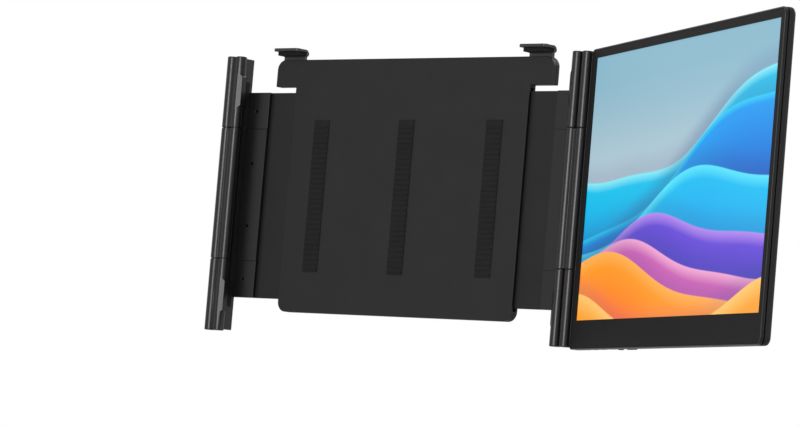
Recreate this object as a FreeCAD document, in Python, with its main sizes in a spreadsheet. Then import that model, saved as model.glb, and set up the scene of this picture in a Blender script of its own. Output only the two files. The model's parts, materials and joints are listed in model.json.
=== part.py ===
import FreeCAD, Part
import math
import os
import Sketcher

# A screen extender that clips on a laptop lid and carries one side screen on a double hinge.
# X runs to the right, Y away from the user and Z up. The lid's back rests in the plane Y = 0,
# and the height Z = 0 is the middle of the two hinge columns.

doc = FreeCAD.newDocument("screen_extender")
sizes = doc.addObject("Spreadsheet::Sheet", "sizes")

# The driving dimensions, in millimetres and degrees
SIZES = {
    # The lid that the extender grips
    "lid_width": 345.4,
    "lid_thickness": 6.0,
    "lid_top": 111.0,
    # The hinge columns
    "barrel_diameter": 8.8,
    "barrel_gap": 0.6,
    "axis_ahead": 3.0,
    "link_length": 104.2,
    "seam_gap": 0.6,
    "segment_length": 57.0,
    "barrel_round": 0.8,
    "neck_thickness": 5.0,
    "neck_drop": 1.2,
    "link_clearance": 0.4,
    # The pins and friction sleeves in the barrels
    "pin_diameter": 3.6,
    "pin_grip": 20.0,
    "pin_running_gap": 0.05,
    "sleeve_wall": 1.0,
    "sleeve_length": 22.0,
    "bore_end_gap": 1.0,
    "washer_thickness": 0.3,
    "washer_diameter": 7.8,
    # The arms behind the lid and the hooks in front of it
    "web_thickness": 4.8,
    "edge_pad": 0.5,
    "edge_pad_height": 180.0,
    "hook_pad": 0.4,
    "hook_length": 29.6,
    "hook_end": 13.0,
    "hook_reach": 4.8,
    "hook_nose": 2.0,
    "hook_root": 1.44,
    "hook_step": 0.1,
    "hook_pad_inset": 0.2,
    "hook_pad_width": 1.0,
    "foot_width": 28.0,
    "foot_front": 0.6,
    "arm_plate_front": 3.4,
    "arm_plate_thickness": 2.0,
    "arm_plate_height": 164.0,
    "arm_plate_inner_end": 58.0,
    "arm_plate_round": 4.0,
    "arm_travel_in": 25.0,
    "arm_travel_out": 20.0,
    "arm_screw_inset": 15.0,
    "arm_screw_outer_z": 67.0,
    "arm_screw_inner_z": 25.0,
    "screw_diameter": 2.5,
    "screw_head_diameter": 4.6,
    "screw_head_height": 1.2,
    # The centre frame behind the lid
    "frame_front": 0.8,
    "frame_depth": 7.2,
    "frame_width": 244.0,
    "frame_bottom": 92.0,
    "frame_shoulder": 86.5,
    "frame_top": 108.0,
    "crossbar_width": 288.0,
    "frame_round": 8.0,
    "shell_wall": 1.8,
    "channel_half_height": 84.5,
    "guide_x": 90.0,
    "guide_z": 50.0,
    "guide_diameter": 5.0,
    "slot_gap": 0.5,
    "slot_flat": 0.4,
    "cut_over": 1.0,
    "slide_gap": 0.3,
    "glide_height": 6.0,
    "glide_z": 70.0,
    "glide_length": 56.0,
    "frame_screw_x": 104.0,
    "frame_screw_low_z": 88.4,
    "frame_screw_high_z": 97.0,
    "rest_pad_width": 16.0,
    "rest_pad_height": 120.0,
    "rest_pad_spacing": 90.0,
    # The clips over the lid's top edge
    "clip_x": 128.5,
    "clip_width": 27.0,
    "clip_front": 8.4,
    "clip_thickness": 2.2,
    "clip_lift": 3.0,
    "clip_bend": 4.0,
    "clip_chamfer": 0.7,
    "clip_corner": 3.0,
    "clip_stem_width": 24.0,
    "clip_stem_thickness": 2.0,
    "clip_stem_end": 88.4,
    "clip_pocket_end": 88.0,
    "clip_pad_front": 3.7,
    # The kickstand on the back
    "stand_width": 110.0,
    "stand_drop": 92.0,
    "stand_thickness": 2.0,
    "stand_gap": 0.4,
    "stand_axis_z": 22.0,
    "stand_knuckle": 5.2,
    "stand_pin": 2.6,
    "stand_round": 12.0,
    "ear_thickness": 4.0,
    "ear_wall": 1.4,
    "stand_foot_width": 70.0,
    "stand_foot_height": 2.5,
    # The side screen, measured along the screen, behind its hinge axis and upwards
    "screen_angle": 30.0,
    "display_width": 344.2,
    "display_height": 193.6,
    "display_bottom": 90.1,
    "hinge_bezel": 10.7,
    "outer_bezel": 7.1,
    "top_bezel": 7.0,
    "bottom_bezel": 21.4,
    "screen_offset": 5.0,
    "face_setback": 1.15,
    "screen_round": 5.75,
    "rim_depth": 2.2,
    "rim_wall": 1.1,
    "groove": 1.0,
    "cover_depth": 4.8,
    "cover_wall": 1.4,
    "cover_floor": 1.2,
    "cover_round": 2.4,
    "fit_gap": 0.1,
    "lip_wall": 1.5,
    "lip_entry": 1.0,
    "bezel_recess": 0.1,
    "bezel_thickness": 0.8,
    "panel_border": 3.0,
    "panel_border_bottom": 8.0,
    "panel_thickness": 1.2,
    "backlight_thickness": 1.8,
    "support_thickness": 0.6,
    "support_gap": 0.3,
    "boss_diameter": 6.0,
    "boss_hinge_side": 45.0,
    "boss_outer_side": 20.0,
    "boss_top": 18.0,
    "boss_bottom": 30.0,
    "cover_screw_diameter": 2.0,
    "cover_screw_head": 4.0,
    "cover_screw_sink": 1.0,
    "tab_half_height": 20.0,
    "tab_reach": 32.0,
    "tab_thickness": 1.2,
    "neck_bulge": 7.65,
    "neck_run": 2.5,
    "neck_slope": 0.7,
    "tab_screw_near": 15.0,
    "tab_screw_far": 26.0,
    "tab_screw_rise": 14.0,
    "tab_screw_head_height": 0.8,
    "vent_length": 12.0,
    "vent_height": 1.6,
    "vent_pitch": 5.0,
    "vent_count": 7,
    "vent_drop": 40.0,
    "vent_inset": 110.0,
    # The board, sockets and buttons in the screen's lower edge
    "board_start": 28.0,
    "board_length": 112.0,
    "board_height": 9.6,
    "board_front": 3.6,
    "board_thickness": 1.0,
    "socket_inset": 0.2,
    "socket_depth": 7.0,
    "socket_wall": 0.3,
    "socket_back": 0.6,
    "port_width": 8.94,
    "port_height": 3.26,
    "first_port": 40.0,
    "second_port": 56.0,
    "video_port": 74.0,
    "video_width": 11.2,
    "tongue_width": 6.0,
    "video_tongue_width": 8.0,
    "tongue_thickness": 0.7,
    "opening_gap": 0.15,
    "socket_flat": 0.6,
    "button_flat": 0.4,
    "power_x": 100.0,
    "power_width": 7.0,
    "rocker_x": 122.0,
    "rocker_width": 16.0,
    "button_thickness": 2.0,
    "button_middle": 6.6,
    "button_proud": 0.5,
    "button_depth": 2.6,
    "button_gap": 0.25,
    "rocker_pivot": 1.2,
    "rocker_pivot_rise": 2.2,
    "rocker_pivot_step": 0.25,
    "switch_width": 3.0,
    "switch_height": 3.0,
    "switch_gap": 0.8,
    "flex_width": 20.0,
    "flex_x": 88.0,
    "flex_thickness": 0.2,
    "flex_foot": 2.4,
    "flex_reach": 16.0,
}

for row, (alias, number) in enumerate(SIZES.items(), 1):
    sizes.set(f"A{row}", alias)
    sizes.set(f"B{row}", str(number))
    sizes.setAlias(f"B{row}", alias)
doc.recompute()

# Places that several pieces share, worked out from the sizes above
BARREL = "sizes.barrel_diameter / 2"
WEB_IN = "(sizes.lid_width / 2 + sizes.edge_pad)"
WEB_OUT = f"({WEB_IN} + sizes.web_thickness)"
INNER_X = f"({WEB_IN} + sizes.web_thickness / 2)"
OUTER_X = f"({INNER_X} + sizes.barrel_diameter + sizes.barrel_gap)"
AXIS_Y = "(-sizes.lid_thickness - sizes.axis_ahead)"
LINK_TOP = "(sizes.link_length / 2)"
SEAM_TOP = "(sizes.link_length / 2 + sizes.seam_gap)"
COLUMN_TOP = f"({SEAM_TOP} + sizes.segment_length)"
PIN_RADIUS = "sizes.pin_diameter / 2"
SLEEVE_IN = "(sizes.pin_diameter / 2 + sizes.pin_running_gap)"
SLEEVE_OUT = f"({SLEEVE_IN} + sizes.sleeve_wall)"
BORE_DEPTH = "(sizes.sleeve_length + sizes.bore_end_gap)"
PLATE_BACK = "(sizes.arm_plate_front + sizes.arm_plate_thickness)"
FRAME_BACK = "(sizes.frame_front + sizes.frame_depth)"
FRAME_MIDDLE = "(sizes.frame_front + sizes.frame_depth / 2)"
FRAME_HALF = "(sizes.frame_width / 2)"
SCREW = "sizes.screw_diameter / 2"
SCREW_HEAD = "sizes.screw_head_diameter / 2"


def value(expression):
    """The number that an expression over the sheet gives now."""
    result = sizes.evalExpression(expression)
    return float(getattr(result, "Value", result))


def new_body(label):
    body = doc.addObject("PartDesign::Body", label)
    body.Label = label
    body.AllowCompound = True
    return body


def sketch_on(body, plane, offset):
    """An empty sketch parallel to one of the body's own planes, at an offset along its normal."""
    sketch = body.newObject("Sketcher::SketchObject", "profile")
    support = [item for item in body.Origin.OriginFeatures if item.Role == f"{plane}_Plane"][0]
    sketch.AttachmentSupport = (support, [""])
    sketch.MapMode = "FlatFace"
    sketch.setExpression("AttachmentOffset.Base.z", offset)
    return sketch


def bind(sketch, kind, items, expression):
    """Adds a dimension to a sketch and ties it to an expression."""
    constraint = Sketcher.Constraint(kind, *items, value(expression))
    sketch.setExpression(f"Constraints[{sketch.addConstraint(constraint)}]", expression)


def add_polygon(sketch, points):
    """A closed outline of straight edges through points given as pairs of expressions."""
    first = sketch.GeometryCount
    corners = [FreeCAD.Vector(value(across), value(up), 0) for across, up in points]
    for start, end in zip(corners, corners[1:] + corners[:1]):
        sketch.addGeometry(Part.LineSegment(start, end))
    for n in range(len(points)):
        following = first + (n + 1) % len(points)
        sketch.addConstraint(Sketcher.Constraint("Coincident", first + n, 2, following, 1))
    for n, (across, up) in enumerate(points):
        bind(sketch, "DistanceX", (-1, 1, first + n, 1), across)
        bind(sketch, "DistanceY", (-1, 1, first + n, 1), up)


def add_rectangle(sketch, left, right, bottom, top):
    add_polygon(sketch, [(left, bottom), (right, bottom), (right, top), (left, top)])


def add_circle(sketch, across, up, radius):
    first = sketch.GeometryCount
    centre = FreeCAD.Vector(value(across), value(up), 0)
    sketch.addGeometry(Part.Circle(centre, FreeCAD.Vector(0, 0, 1), value(radius)))
    bind(sketch, "DistanceX", (-1, 1, first, 3), across)
    bind(sketch, "DistanceY", (-1, 1, first, 3), up)
    bind(sketch, "Radius", (first,), radius)


def add_rounded(sketch, left, right, bottom, top, radius):
    """A rectangle with four equal round corners."""
    low_x, high_x, low_y, high_y, round_ = (value(e) for e in (left, right, bottom, top, radius))
    first = sketch.GeometryCount
    straight = [
        ((low_x + round_, low_y), (high_x - round_, low_y)),
        ((high_x, low_y + round_), (high_x, high_y - round_)),
        ((high_x - round_, high_y), (low_x + round_, high_y)),
        ((low_x, high_y - round_), (low_x, low_y + round_)),
    ]
    for start, end in straight:
        sketch.addGeometry(Part.LineSegment(FreeCAD.Vector(*start, 0), FreeCAD.Vector(*end, 0)))
    centres = [
        (high_x - round_, low_y + round_),
        (high_x - round_, high_y - round_),
        (low_x + round_, high_y - round_),
        (low_x + round_, low_y + round_),
    ]
    for n, (across, up) in enumerate(centres):
        start = (n - 1) * math.pi / 2
        circle = Part.Circle(FreeCAD.Vector(across, up, 0), FreeCAD.Vector(0, 0, 1), round_)
        sketch.addGeometry(Part.ArcOfCircle(circle, start, start + math.pi / 2))
    for n in range(4):
        line = first + n
        corner = first + 4 + n
        sketch.addConstraint(Sketcher.Constraint("Tangent", line, 2, corner, 1))
        sketch.addConstraint(Sketcher.Constraint("Tangent", corner, 2, first + (n + 1) % 4, 1))
        sketch.addConstraint(Sketcher.Constraint("Vertical" if n % 2 else "Horizontal", line))
        if n > 0:
            sketch.addConstraint(Sketcher.Constraint("Equal", first + 4, corner))
    bind(sketch, "DistanceY", (-1, 1, first, 1), bottom)
    bind(sketch, "DistanceX", (-1, 1, first + 1, 1), right)
    bind(sketch, "DistanceY", (-1, 1, first + 2, 1), top)
    bind(sketch, "DistanceX", (-1, 1, first + 3, 1), left)
    bind(sketch, "Radius", (first + 4,), radius)


def pad(body, sketch, length, reverse=False):
    feature = body.newObject("PartDesign::Pad", "pad")
    feature.Profile = sketch
    feature.setExpression("Length", length)
    feature.Reversed = reverse
    doc.recompute()
    return feature


def pocket(body, sketch, length, reverse=False):
    """Cuts against the sketch's normal, or along it when reversed, and checks that it cut."""
    before = body.Shape.Volume
    feature = body.newObject("PartDesign::Pocket", "pocket")
    feature.Profile = sketch
    feature.setExpression("Length", length)
    feature.Reversed = reverse
    doc.recompute()
    assert feature.Shape.Volume < before, f"{body.Label} has a pocket that cuts nothing"
    return feature


def round_edges(body, base, radius, test):
    """Rounds the edges of a feature whose middle point passes the test."""
    picked = []
    for n, edge in enumerate(base.Shape.Edges, 1):
        middle = edge.valueAt((edge.FirstParameter + edge.LastParameter) / 2)
        if test(edge, middle):
            picked.append(f"Edge{n}")
    feature = body.newObject("PartDesign::Fillet", "round")
    feature.Base = (base, picked)
    feature.setExpression("Radius", radius)
    doc.recompute()
    return feature


CLOSE = 0.01


def near(number, expression):
    return abs(number - value(expression)) < CLOSE


def is_across(edge):
    """An edge that runs along Y."""
    return edge.BoundBox.YLength > CLOSE and edge.BoundBox.XLength < CLOSE and edge.BoundBox.ZLength < CLOSE


def is_upright(edge):
    """An edge that runs along Z."""
    return edge.BoundBox.ZLength > CLOSE and edge.BoundBox.XLength < CLOSE and edge.BoundBox.YLength < CLOSE


def slab(body, draw, front, depth):
    """Pads an outline of the XZ plane from a depth behind the origin further backwards."""
    sketch = sketch_on(body, "XZ", f"-({front})")
    draw(sketch)
    return pad(body, sketch, depth, reverse=True)


def sink(body, draw, front, depth):
    """Pockets an outline of the XZ plane from a depth behind the origin further backwards."""
    sketch = sketch_on(body, "XZ", f"-({front})")
    draw(sketch)
    return pocket(body, sketch, depth)


def rise(body, draw, bottom, height):
    """Pads an outline of the XY plane upwards."""
    sketch = sketch_on(body, "XY", bottom)
    draw(sketch)
    return pad(body, sketch, height)


def bore_up(body, draw, bottom, height):
    """Pockets an outline of the XY plane upwards."""
    sketch = sketch_on(body, "XY", bottom)
    draw(sketch)
    return pocket(body, sketch, height, reverse=True)


def mirrored(label, source, normal):
    """The other hand of a piece, as the other mould makes it."""
    piece = doc.addObject("Part::Mirroring", label)
    piece.Label = label
    piece.Source = source
    piece.Normal = normal
    piece.Base = (0, 0, 0)
    doc.recompute()
    return piece


SIDEWAYS = (1, 0, 0)
UPRIGHT = (0, 0, 1)
parts = []


def keep(*pieces):
    parts.extend(pieces)


# Column end: one end segment of a column, with its web, its foot and its grip hook.
# The single one holds a hinge bore, and the double one has the second barrel of the fixed column.
FOOT_IN = f"({WEB_OUT} - sizes.foot_width)"
FOOT_FRONT = "sizes.foot_front"
FOOT_DEPTH = "(sizes.arm_plate_front - sizes.foot_front)"
ARM_SCREW_X = f"({WEB_OUT} - sizes.arm_screw_inset)"


def outer_foot_screw(sketch):
    add_circle(sketch, ARM_SCREW_X, "sizes.arm_screw_outer_z", SCREW)


def round_barrel(body, across, behind):
    """A barrel of one segment's length, with its outer end rounded off."""
    barrel = rise(body, lambda s: add_circle(s, across, behind, BARREL), SEAM_TOP, "sizes.segment_length")
    round_edges(body, barrel, "sizes.barrel_round", lambda edge, middle: near(edge.BoundBox.ZMin, COLUMN_TOP))


def column_end(label, double):
    body = new_body(label)
    round_barrel(body, INNER_X, AXIS_Y)
    shoulder = "sizes.segment_length - sizes.neck_drop"
    if double:
        second = new_body(f"{label}_second_barrel")
        round_barrel(second, OUTER_X, AXIS_Y)
        low = f"{AXIS_Y} - sizes.neck_thickness / 2"
        high = f"{AXIS_Y} + sizes.neck_thickness / 2"
        rise(body, lambda s: add_rectangle(s, INNER_X, OUTER_X, low, high), SEAM_TOP, shoulder)
        joined = body.newObject("PartDesign::Boolean", "join")
        joined.Type = "Fuse"
        joined.setObjects([second])
        doc.recompute()
    plate = "sizes.arm_plate_front"
    rise(body, lambda s: add_rectangle(s, WEB_IN, WEB_OUT, AXIS_Y, plate), SEAM_TOP, shoulder)
    foot_height = f"sizes.arm_plate_height / 2 - {SEAM_TOP}"
    rise(body, lambda s: add_rectangle(s, FOOT_IN, WEB_OUT, FOOT_FRONT, plate), SEAM_TOP, foot_height)
    sink(body, outer_foot_screw, FOOT_FRONT, FOOT_DEPTH)
    hook_on(body)
    bore_up(body, lambda s: add_circle(s, INNER_X, AXIS_Y, SLEEVE_OUT), SEAM_TOP, BORE_DEPTH)
    return body


HOOK_TOP = f"({COLUMN_TOP} - sizes.hook_end)"
HOOK_LOW = f"({HOOK_TOP} - sizes.hook_length)"
HOOK_BACK = "(-sizes.lid_thickness - sizes.hook_pad)"
HOOK_TIP = f"({INNER_X} - sizes.hook_reach)"
HOOK_ROOT = f"({INNER_X} - sizes.hook_root)"
HOOK_SLOPE = "(sizes.hook_reach - sizes.hook_root)"
HOOK_FRONT = f"({AXIS_Y} - sqrt(({BARREL}) ^ 2 - sizes.hook_root ^ 2) - sizes.hook_step)"


def hook_on(body):
    """The hook: a block with ends at 45 degrees, whose front is planed off to a slanting facet."""
    shape = [
        (INNER_X, HOOK_LOW),
        (HOOK_ROOT, HOOK_LOW),
        (HOOK_TIP, f"{HOOK_LOW} + {HOOK_SLOPE}"),
        (HOOK_TIP, f"{HOOK_TOP} - {HOOK_SLOPE}"),
        (HOOK_ROOT, HOOK_TOP),
        (INNER_X, HOOK_TOP),
    ]
    sketch = sketch_on(body, "XZ", f"-{HOOK_BACK}")
    add_polygon(sketch, shape)
    pad(body, sketch, f"{HOOK_BACK} - {HOOK_FRONT}")
    beyond = f"{HOOK_TIP} - sizes.hook_reach"
    facet = [
        (HOOK_ROOT, HOOK_FRONT),
        (HOOK_TIP, f"{AXIS_Y} - sizes.hook_nose"),
        (beyond, f"{AXIS_Y} - sizes.hook_nose"),
        (beyond, f"{HOOK_FRONT} - sizes.cut_over"),
        (HOOK_ROOT, f"{HOOK_FRONT} - sizes.cut_over"),
    ]
    bore_up(body, lambda s: add_polygon(s, facet), HOOK_LOW, "sizes.hook_length")


right_column_upper = column_end("right_column_upper", False)
right_column_lower = mirrored("right_column_lower", right_column_upper, UPRIGHT)
double_end = column_end("double_column_end", True)
left_column_upper = mirrored("left_column_upper", double_end, SIDEWAYS)
left_column_lower = mirrored("left_column_lower", left_column_upper, UPRIGHT)
keep(right_column_upper, right_column_lower, left_column_upper, left_column_lower)


# Column middle: the double barrel between the seams. On the right it is the hinge link,
# bored at both ends of both barrels for the pins, and on the left a cover on the tie rod.
def column_middle(label):
    body = new_body(label)
    bottom = f"-{LINK_TOP}"
    length = "sizes.link_length"
    for centre in (INNER_X, OUTER_X):
        rise(body, lambda s: add_circle(s, centre, AXIS_Y, BARREL), bottom, length)
    low = f"{AXIS_Y} - sizes.neck_thickness / 2"
    high = f"{AXIS_Y} + sizes.neck_thickness / 2"
    rise(body, lambda s: add_rectangle(s, INNER_X, OUTER_X, low, high), bottom, length)
    return body


def pin_holes(sketch):
    add_circle(sketch, INNER_X, AXIS_Y, PIN_RADIUS)
    add_circle(sketch, OUTER_X, AXIS_Y, PIN_RADIUS)


def rod_circle(sketch):
    add_circle(sketch, INNER_X, AXIS_Y, SLEEVE_OUT)


hinge_link = column_middle("hinge_link")
bore_up(hinge_link, pin_holes, f"-{LINK_TOP}", "sizes.pin_grip")
bore_up(hinge_link, pin_holes, f"{LINK_TOP} - sizes.pin_grip", "sizes.pin_grip")
middle_cover = column_middle("column_middle_cover")
bore_up(middle_cover, rod_circle, f"-{LINK_TOP}", "sizes.link_length")
left_column_middle = mirrored("left_column_middle", middle_cover, SIDEWAYS)
keep(hinge_link, left_column_middle)

# Tie rod: a steel rod that holds the three segments of the fixed column in line
tie_rod = new_body("tie_rod")
ROD_END = f"({SEAM_TOP} + sizes.sleeve_length)"
rise(tie_rod, rod_circle, f"-{ROD_END}", f"{ROD_END} * 2")
keep(mirrored("left_tie_rod", tie_rod, SIDEWAYS))


# Hinge pins, pressed in the link, and the friction sleeves that they turn in
def hinge_pin(label, centre):
    body = new_body(label)
    start = f"{LINK_TOP} - sizes.pin_grip"
    length = "sizes.pin_grip + sizes.seam_gap + sizes.sleeve_length"
    rise(body, lambda s: add_circle(s, centre, AXIS_Y, PIN_RADIUS), start, length)
    return body


def friction_sleeve(label, across, behind):
    body = new_body(label)
    rise(body, lambda s: add_circle(s, across, behind, SLEEVE_OUT), SEAM_TOP, "sizes.sleeve_length")
    bore_up(body, lambda s: add_circle(s, across, behind, SLEEVE_IN), SEAM_TOP, "sizes.sleeve_length")
    return body


for name, centre in (("inner", INNER_X), ("outer", OUTER_X)):
    upper_pin = hinge_pin(f"{name}_pin_upper", centre)
    keep(upper_pin, mirrored(f"{name}_pin_lower", upper_pin, UPRIGHT))
inner_sleeve_upper = friction_sleeve("inner_sleeve_upper", INNER_X, AXIS_Y)
keep(inner_sleeve_upper, mirrored("inner_sleeve_lower", inner_sleeve_upper, UPRIGHT))

# Washers that the barrels turn on, laid on the link's two ends
link_washers = new_body("link_washers")
for bottom in (LINK_TOP, f"-{LINK_TOP} - sizes.washer_thickness"):
    for centre in (INNER_X, OUTER_X):
        ring = sketch_on(link_washers, "XY", bottom)
        add_circle(ring, centre, AXIS_Y, "sizes.washer_diameter / 2")
        add_circle(ring, centre, AXIS_Y, SLEEVE_IN)
        pad(link_washers, ring, "sizes.washer_thickness")
keep(link_washers)

# Column spine: the web and foot behind the middle segment, just clear of the turning link
right_column_spine = new_body("right_column_spine")
SPINE_FRONT = f"({AXIS_Y} + {BARREL} + sizes.link_clearance)"
SPINE_LENGTH = f"{SEAM_TOP} * 2"
web_outline = [
    (WEB_IN, SPINE_FRONT),
    (WEB_OUT, SPINE_FRONT),
    (WEB_OUT, "sizes.arm_plate_front"),
    (FOOT_IN, "sizes.arm_plate_front"),
    (FOOT_IN, FOOT_FRONT),
    (WEB_IN, FOOT_FRONT),
]
rise(right_column_spine, lambda s: add_polygon(s, web_outline), f"-{SEAM_TOP}", SPINE_LENGTH)


def spine_screws(sketch):
    add_circle(sketch, ARM_SCREW_X, "sizes.arm_screw_inner_z", SCREW)
    add_circle(sketch, ARM_SCREW_X, "-sizes.arm_screw_inner_z", SCREW)


def arm_screws_at(sketch, radius):
    for height in ("sizes.arm_screw_outer_z", "sizes.arm_screw_inner_z"):
        add_circle(sketch, ARM_SCREW_X, height, radius)
        add_circle(sketch, ARM_SCREW_X, f"-{height}", radius)


sink(right_column_spine, spine_screws, FOOT_FRONT, FOOT_DEPTH)
keep(right_column_spine, mirrored("left_column_spine", right_column_spine, SIDEWAYS))

# Arm plate: the sheet-metal slide behind the lid, with a slot for each guide post
right_arm_plate = new_body("right_arm_plate")
SLOT_HALF = "(sizes.guide_diameter / 2 + sizes.slot_gap)"
SLOT_LEFT = f"(sizes.guide_x - sizes.arm_travel_out - {SLOT_HALF})"
SLOT_RIGHT = f"(sizes.guide_x + sizes.arm_travel_in + {SLOT_HALF})"


def arm_outline(sketch):
    half = "sizes.arm_plate_height / 2"
    add_rounded(sketch, "sizes.arm_plate_inner_end", WEB_OUT, f"-{half}", half, "sizes.arm_plate_round")


def guide_slots(sketch):
    for height in ("sizes.guide_z", "-sizes.guide_z"):
        low = f"{height} - {SLOT_HALF}"
        high = f"{height} + {SLOT_HALF}"
        add_rounded(sketch, SLOT_LEFT, SLOT_RIGHT, low, high, f"{SLOT_HALF} - sizes.slot_flat / 2")


def arm_screw_holes(sketch):
    arm_screws_at(sketch, SCREW)


slab(right_arm_plate, arm_outline, "sizes.arm_plate_front", "sizes.arm_plate_thickness")
for holes in (guide_slots, arm_screw_holes):
    sink(right_arm_plate, holes, "sizes.arm_plate_front", "sizes.arm_plate_thickness")
keep(right_arm_plate, mirrored("left_arm_plate", right_arm_plate, SIDEWAYS))

# Screws that hold the feet on the arm plate, with their heads behind it
right_arm_screws = new_body("right_arm_screws")
slab(right_arm_screws, arm_screw_holes, FOOT_FRONT, f"{PLATE_BACK} - {FOOT_FRONT}")
slab(right_arm_screws, lambda s: arm_screws_at(s, SCREW_HEAD), PLATE_BACK, "sizes.screw_head_height")
keep(right_arm_screws, mirrored("left_arm_screws", right_arm_screws, SIDEWAYS))

# Rubber pads on the hooks and on the web, which touch the lid's front and its side edge
right_hook_pads = new_body("right_hook_pads")
PAD_IN = f"({HOOK_TIP} + sizes.hook_pad_inset)"
PAD_OUT = f"({PAD_IN} + sizes.hook_pad_width)"


def hook_pad_outlines(sketch):
    for side in ("", "-"):
        low = f"{side}({HOOK_LOW} + {HOOK_SLOPE})"
        high = f"{side}({HOOK_TOP} - {HOOK_SLOPE})"
        add_rectangle(sketch, PAD_IN, PAD_OUT, low, high)


def edge_pad_outline(sketch):
    half = "sizes.edge_pad_height / 2"
    add_rectangle(sketch, "sizes.lid_width / 2", WEB_IN, f"-{half}", half)


slab(right_hook_pads, hook_pad_outlines, HOOK_BACK, "sizes.hook_pad")
right_edge_pad = new_body("right_edge_pad")
slab(right_edge_pad, edge_pad_outline, SPINE_FRONT, f"-{SPINE_FRONT}")
keep(right_hook_pads, mirrored("left_hook_pads", right_hook_pads, SIDEWAYS))
keep(right_edge_pad, mirrored("left_edge_pad", right_edge_pad, SIDEWAYS))


# Centre frame: two shells that meet on the arms' middle plane, with the channel for both arms
# and a pocket for each clip's stem. The rear one also has the kickstand's ears.
def frame_outline(sketch):
    bar = "sizes.crossbar_width / 2"
    outline = [
        (f"-{FRAME_HALF}", "-sizes.frame_bottom"),
        (FRAME_HALF, "-sizes.frame_bottom"),
        (FRAME_HALF, "sizes.frame_shoulder"),
        (bar, "sizes.frame_shoulder"),
        (bar, "sizes.frame_top"),
        (f"-{bar}", "sizes.frame_top"),
        (f"-{bar}", "sizes.frame_shoulder"),
        (f"-{FRAME_HALF}", "sizes.frame_shoulder"),
    ]
    add_polygon(sketch, outline)


def arm_channel(sketch):
    over = f"{FRAME_HALF} + sizes.cut_over"
    add_rectangle(sketch, f"-({over})", over, "-sizes.channel_half_height", "sizes.channel_half_height")


CLIP_POCKET_HALF = "(sizes.clip_stem_width / 2 + sizes.slide_gap)"


def clip_pockets(sketch):
    for middle in ("-sizes.clip_x", "sizes.clip_x"):
        left = f"{middle} - {CLIP_POCKET_HALF}"
        right = f"{middle} + {CLIP_POCKET_HALF}"
        add_rectangle(sketch, left, right, "sizes.clip_pocket_end", "sizes.frame_top + sizes.cut_over")


def frame_screw_circles(sketch, radius):
    for across in ("-sizes.frame_screw_x", "0", "sizes.frame_screw_x"):
        for height in ("-sizes.frame_screw_low_z", "sizes.frame_screw_high_z"):
            add_circle(sketch, across, height, radius)


def frame_screw_holes(sketch):
    frame_screw_circles(sketch, SCREW)


def frame_screw_heads(sketch):
    frame_screw_circles(sketch, SCREW_HEAD)


HALF_DEPTH = "(sizes.frame_depth / 2)"
CHANNEL_DEPTH = f"({HALF_DEPTH} - sizes.shell_wall)"
CLIP_POCKET_DEPTH = "(sizes.clip_stem_thickness / 2 + sizes.slide_gap)"


def frame_shell(label, front):
    """Half of the frame's outline, with its free corners rounded."""
    body = new_body(label)
    block = slab(body, frame_outline, front, HALF_DEPTH)

    def free_corner(edge, middle):
        inner = near(middle.z, "sizes.frame_shoulder")
        return is_across(edge) and not inner

    round_edges(body, block, "sizes.frame_round", free_corner)
    return body


frame_front_shell = frame_shell("frame_front_shell", "sizes.frame_front")
sink(frame_front_shell, arm_channel, f"{FRAME_MIDDLE} - {CHANNEL_DEPTH}", CHANNEL_DEPTH)
sink(frame_front_shell, clip_pockets, f"{FRAME_MIDDLE} - {CLIP_POCKET_DEPTH}", CLIP_POCKET_DEPTH)
SCREW_START = "(sizes.frame_front + sizes.shell_wall / 2)"
sink(frame_front_shell, frame_screw_holes, SCREW_START, f"{FRAME_MIDDLE} - {SCREW_START}")

frame_rear_shell = frame_shell("frame_rear_shell", FRAME_MIDDLE)
sink(frame_rear_shell, arm_channel, FRAME_MIDDLE, CHANNEL_DEPTH)
sink(frame_rear_shell, clip_pockets, FRAME_MIDDLE, CLIP_POCKET_DEPTH)
sink(frame_rear_shell, frame_screw_holes, FRAME_MIDDLE, HALF_DEPTH)
HEAD_START = f"({FRAME_BACK} - sizes.screw_head_height)"
sink(frame_rear_shell, frame_screw_heads, HEAD_START, "sizes.screw_head_height")

STAND_AXIS_Y = f"({FRAME_BACK} + sizes.stand_gap + sizes.stand_knuckle / 2)"
EAR_RADIUS = "(sizes.stand_pin / 2 + sizes.ear_wall)"
EAR_IN = "(sizes.stand_width / 2 + sizes.stand_gap)"
EAR_OUT = f"({EAR_IN} + sizes.ear_thickness)"


def ear_block(sketch):
    low = f"sizes.stand_axis_z - {EAR_RADIUS}"
    high = f"sizes.stand_axis_z + {EAR_RADIUS}"
    add_rectangle(sketch, FRAME_BACK, STAND_AXIS_Y, low, high)


for start in (EAR_IN, f"-{EAR_OUT}"):
    ear = sketch_on(frame_rear_shell, "YZ", start)
    ear_block(ear)
    pad(frame_rear_shell, ear, "sizes.ear_thickness")
    ear_end = sketch_on(frame_rear_shell, "YZ", start)
    add_circle(ear_end, STAND_AXIS_Y, "sizes.stand_axis_z", EAR_RADIUS)
    pad(frame_rear_shell, ear_end, "sizes.ear_thickness")
ear_hole = sketch_on(frame_rear_shell, "YZ", f"-{EAR_OUT}")
add_circle(ear_hole, STAND_AXIS_Y, "sizes.stand_axis_z", "sizes.stand_pin / 2")
pocket(frame_rear_shell, ear_hole, f"{EAR_OUT} * 2", reverse=True)
keep(frame_front_shell, frame_rear_shell)

# Screws that close the frame, sunk flush in the rear shell
frame_screws = new_body("frame_screws")
slab(frame_screws, frame_screw_holes, SCREW_START, f"{FRAME_BACK} - {SCREW_START}")
slab(frame_screws, frame_screw_heads, HEAD_START, "sizes.screw_head_height")
keep(frame_screws)

# Guide posts across the channel, which run in the arms' slots and stop them at both ends
guide_posts = new_body("guide_posts")


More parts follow.
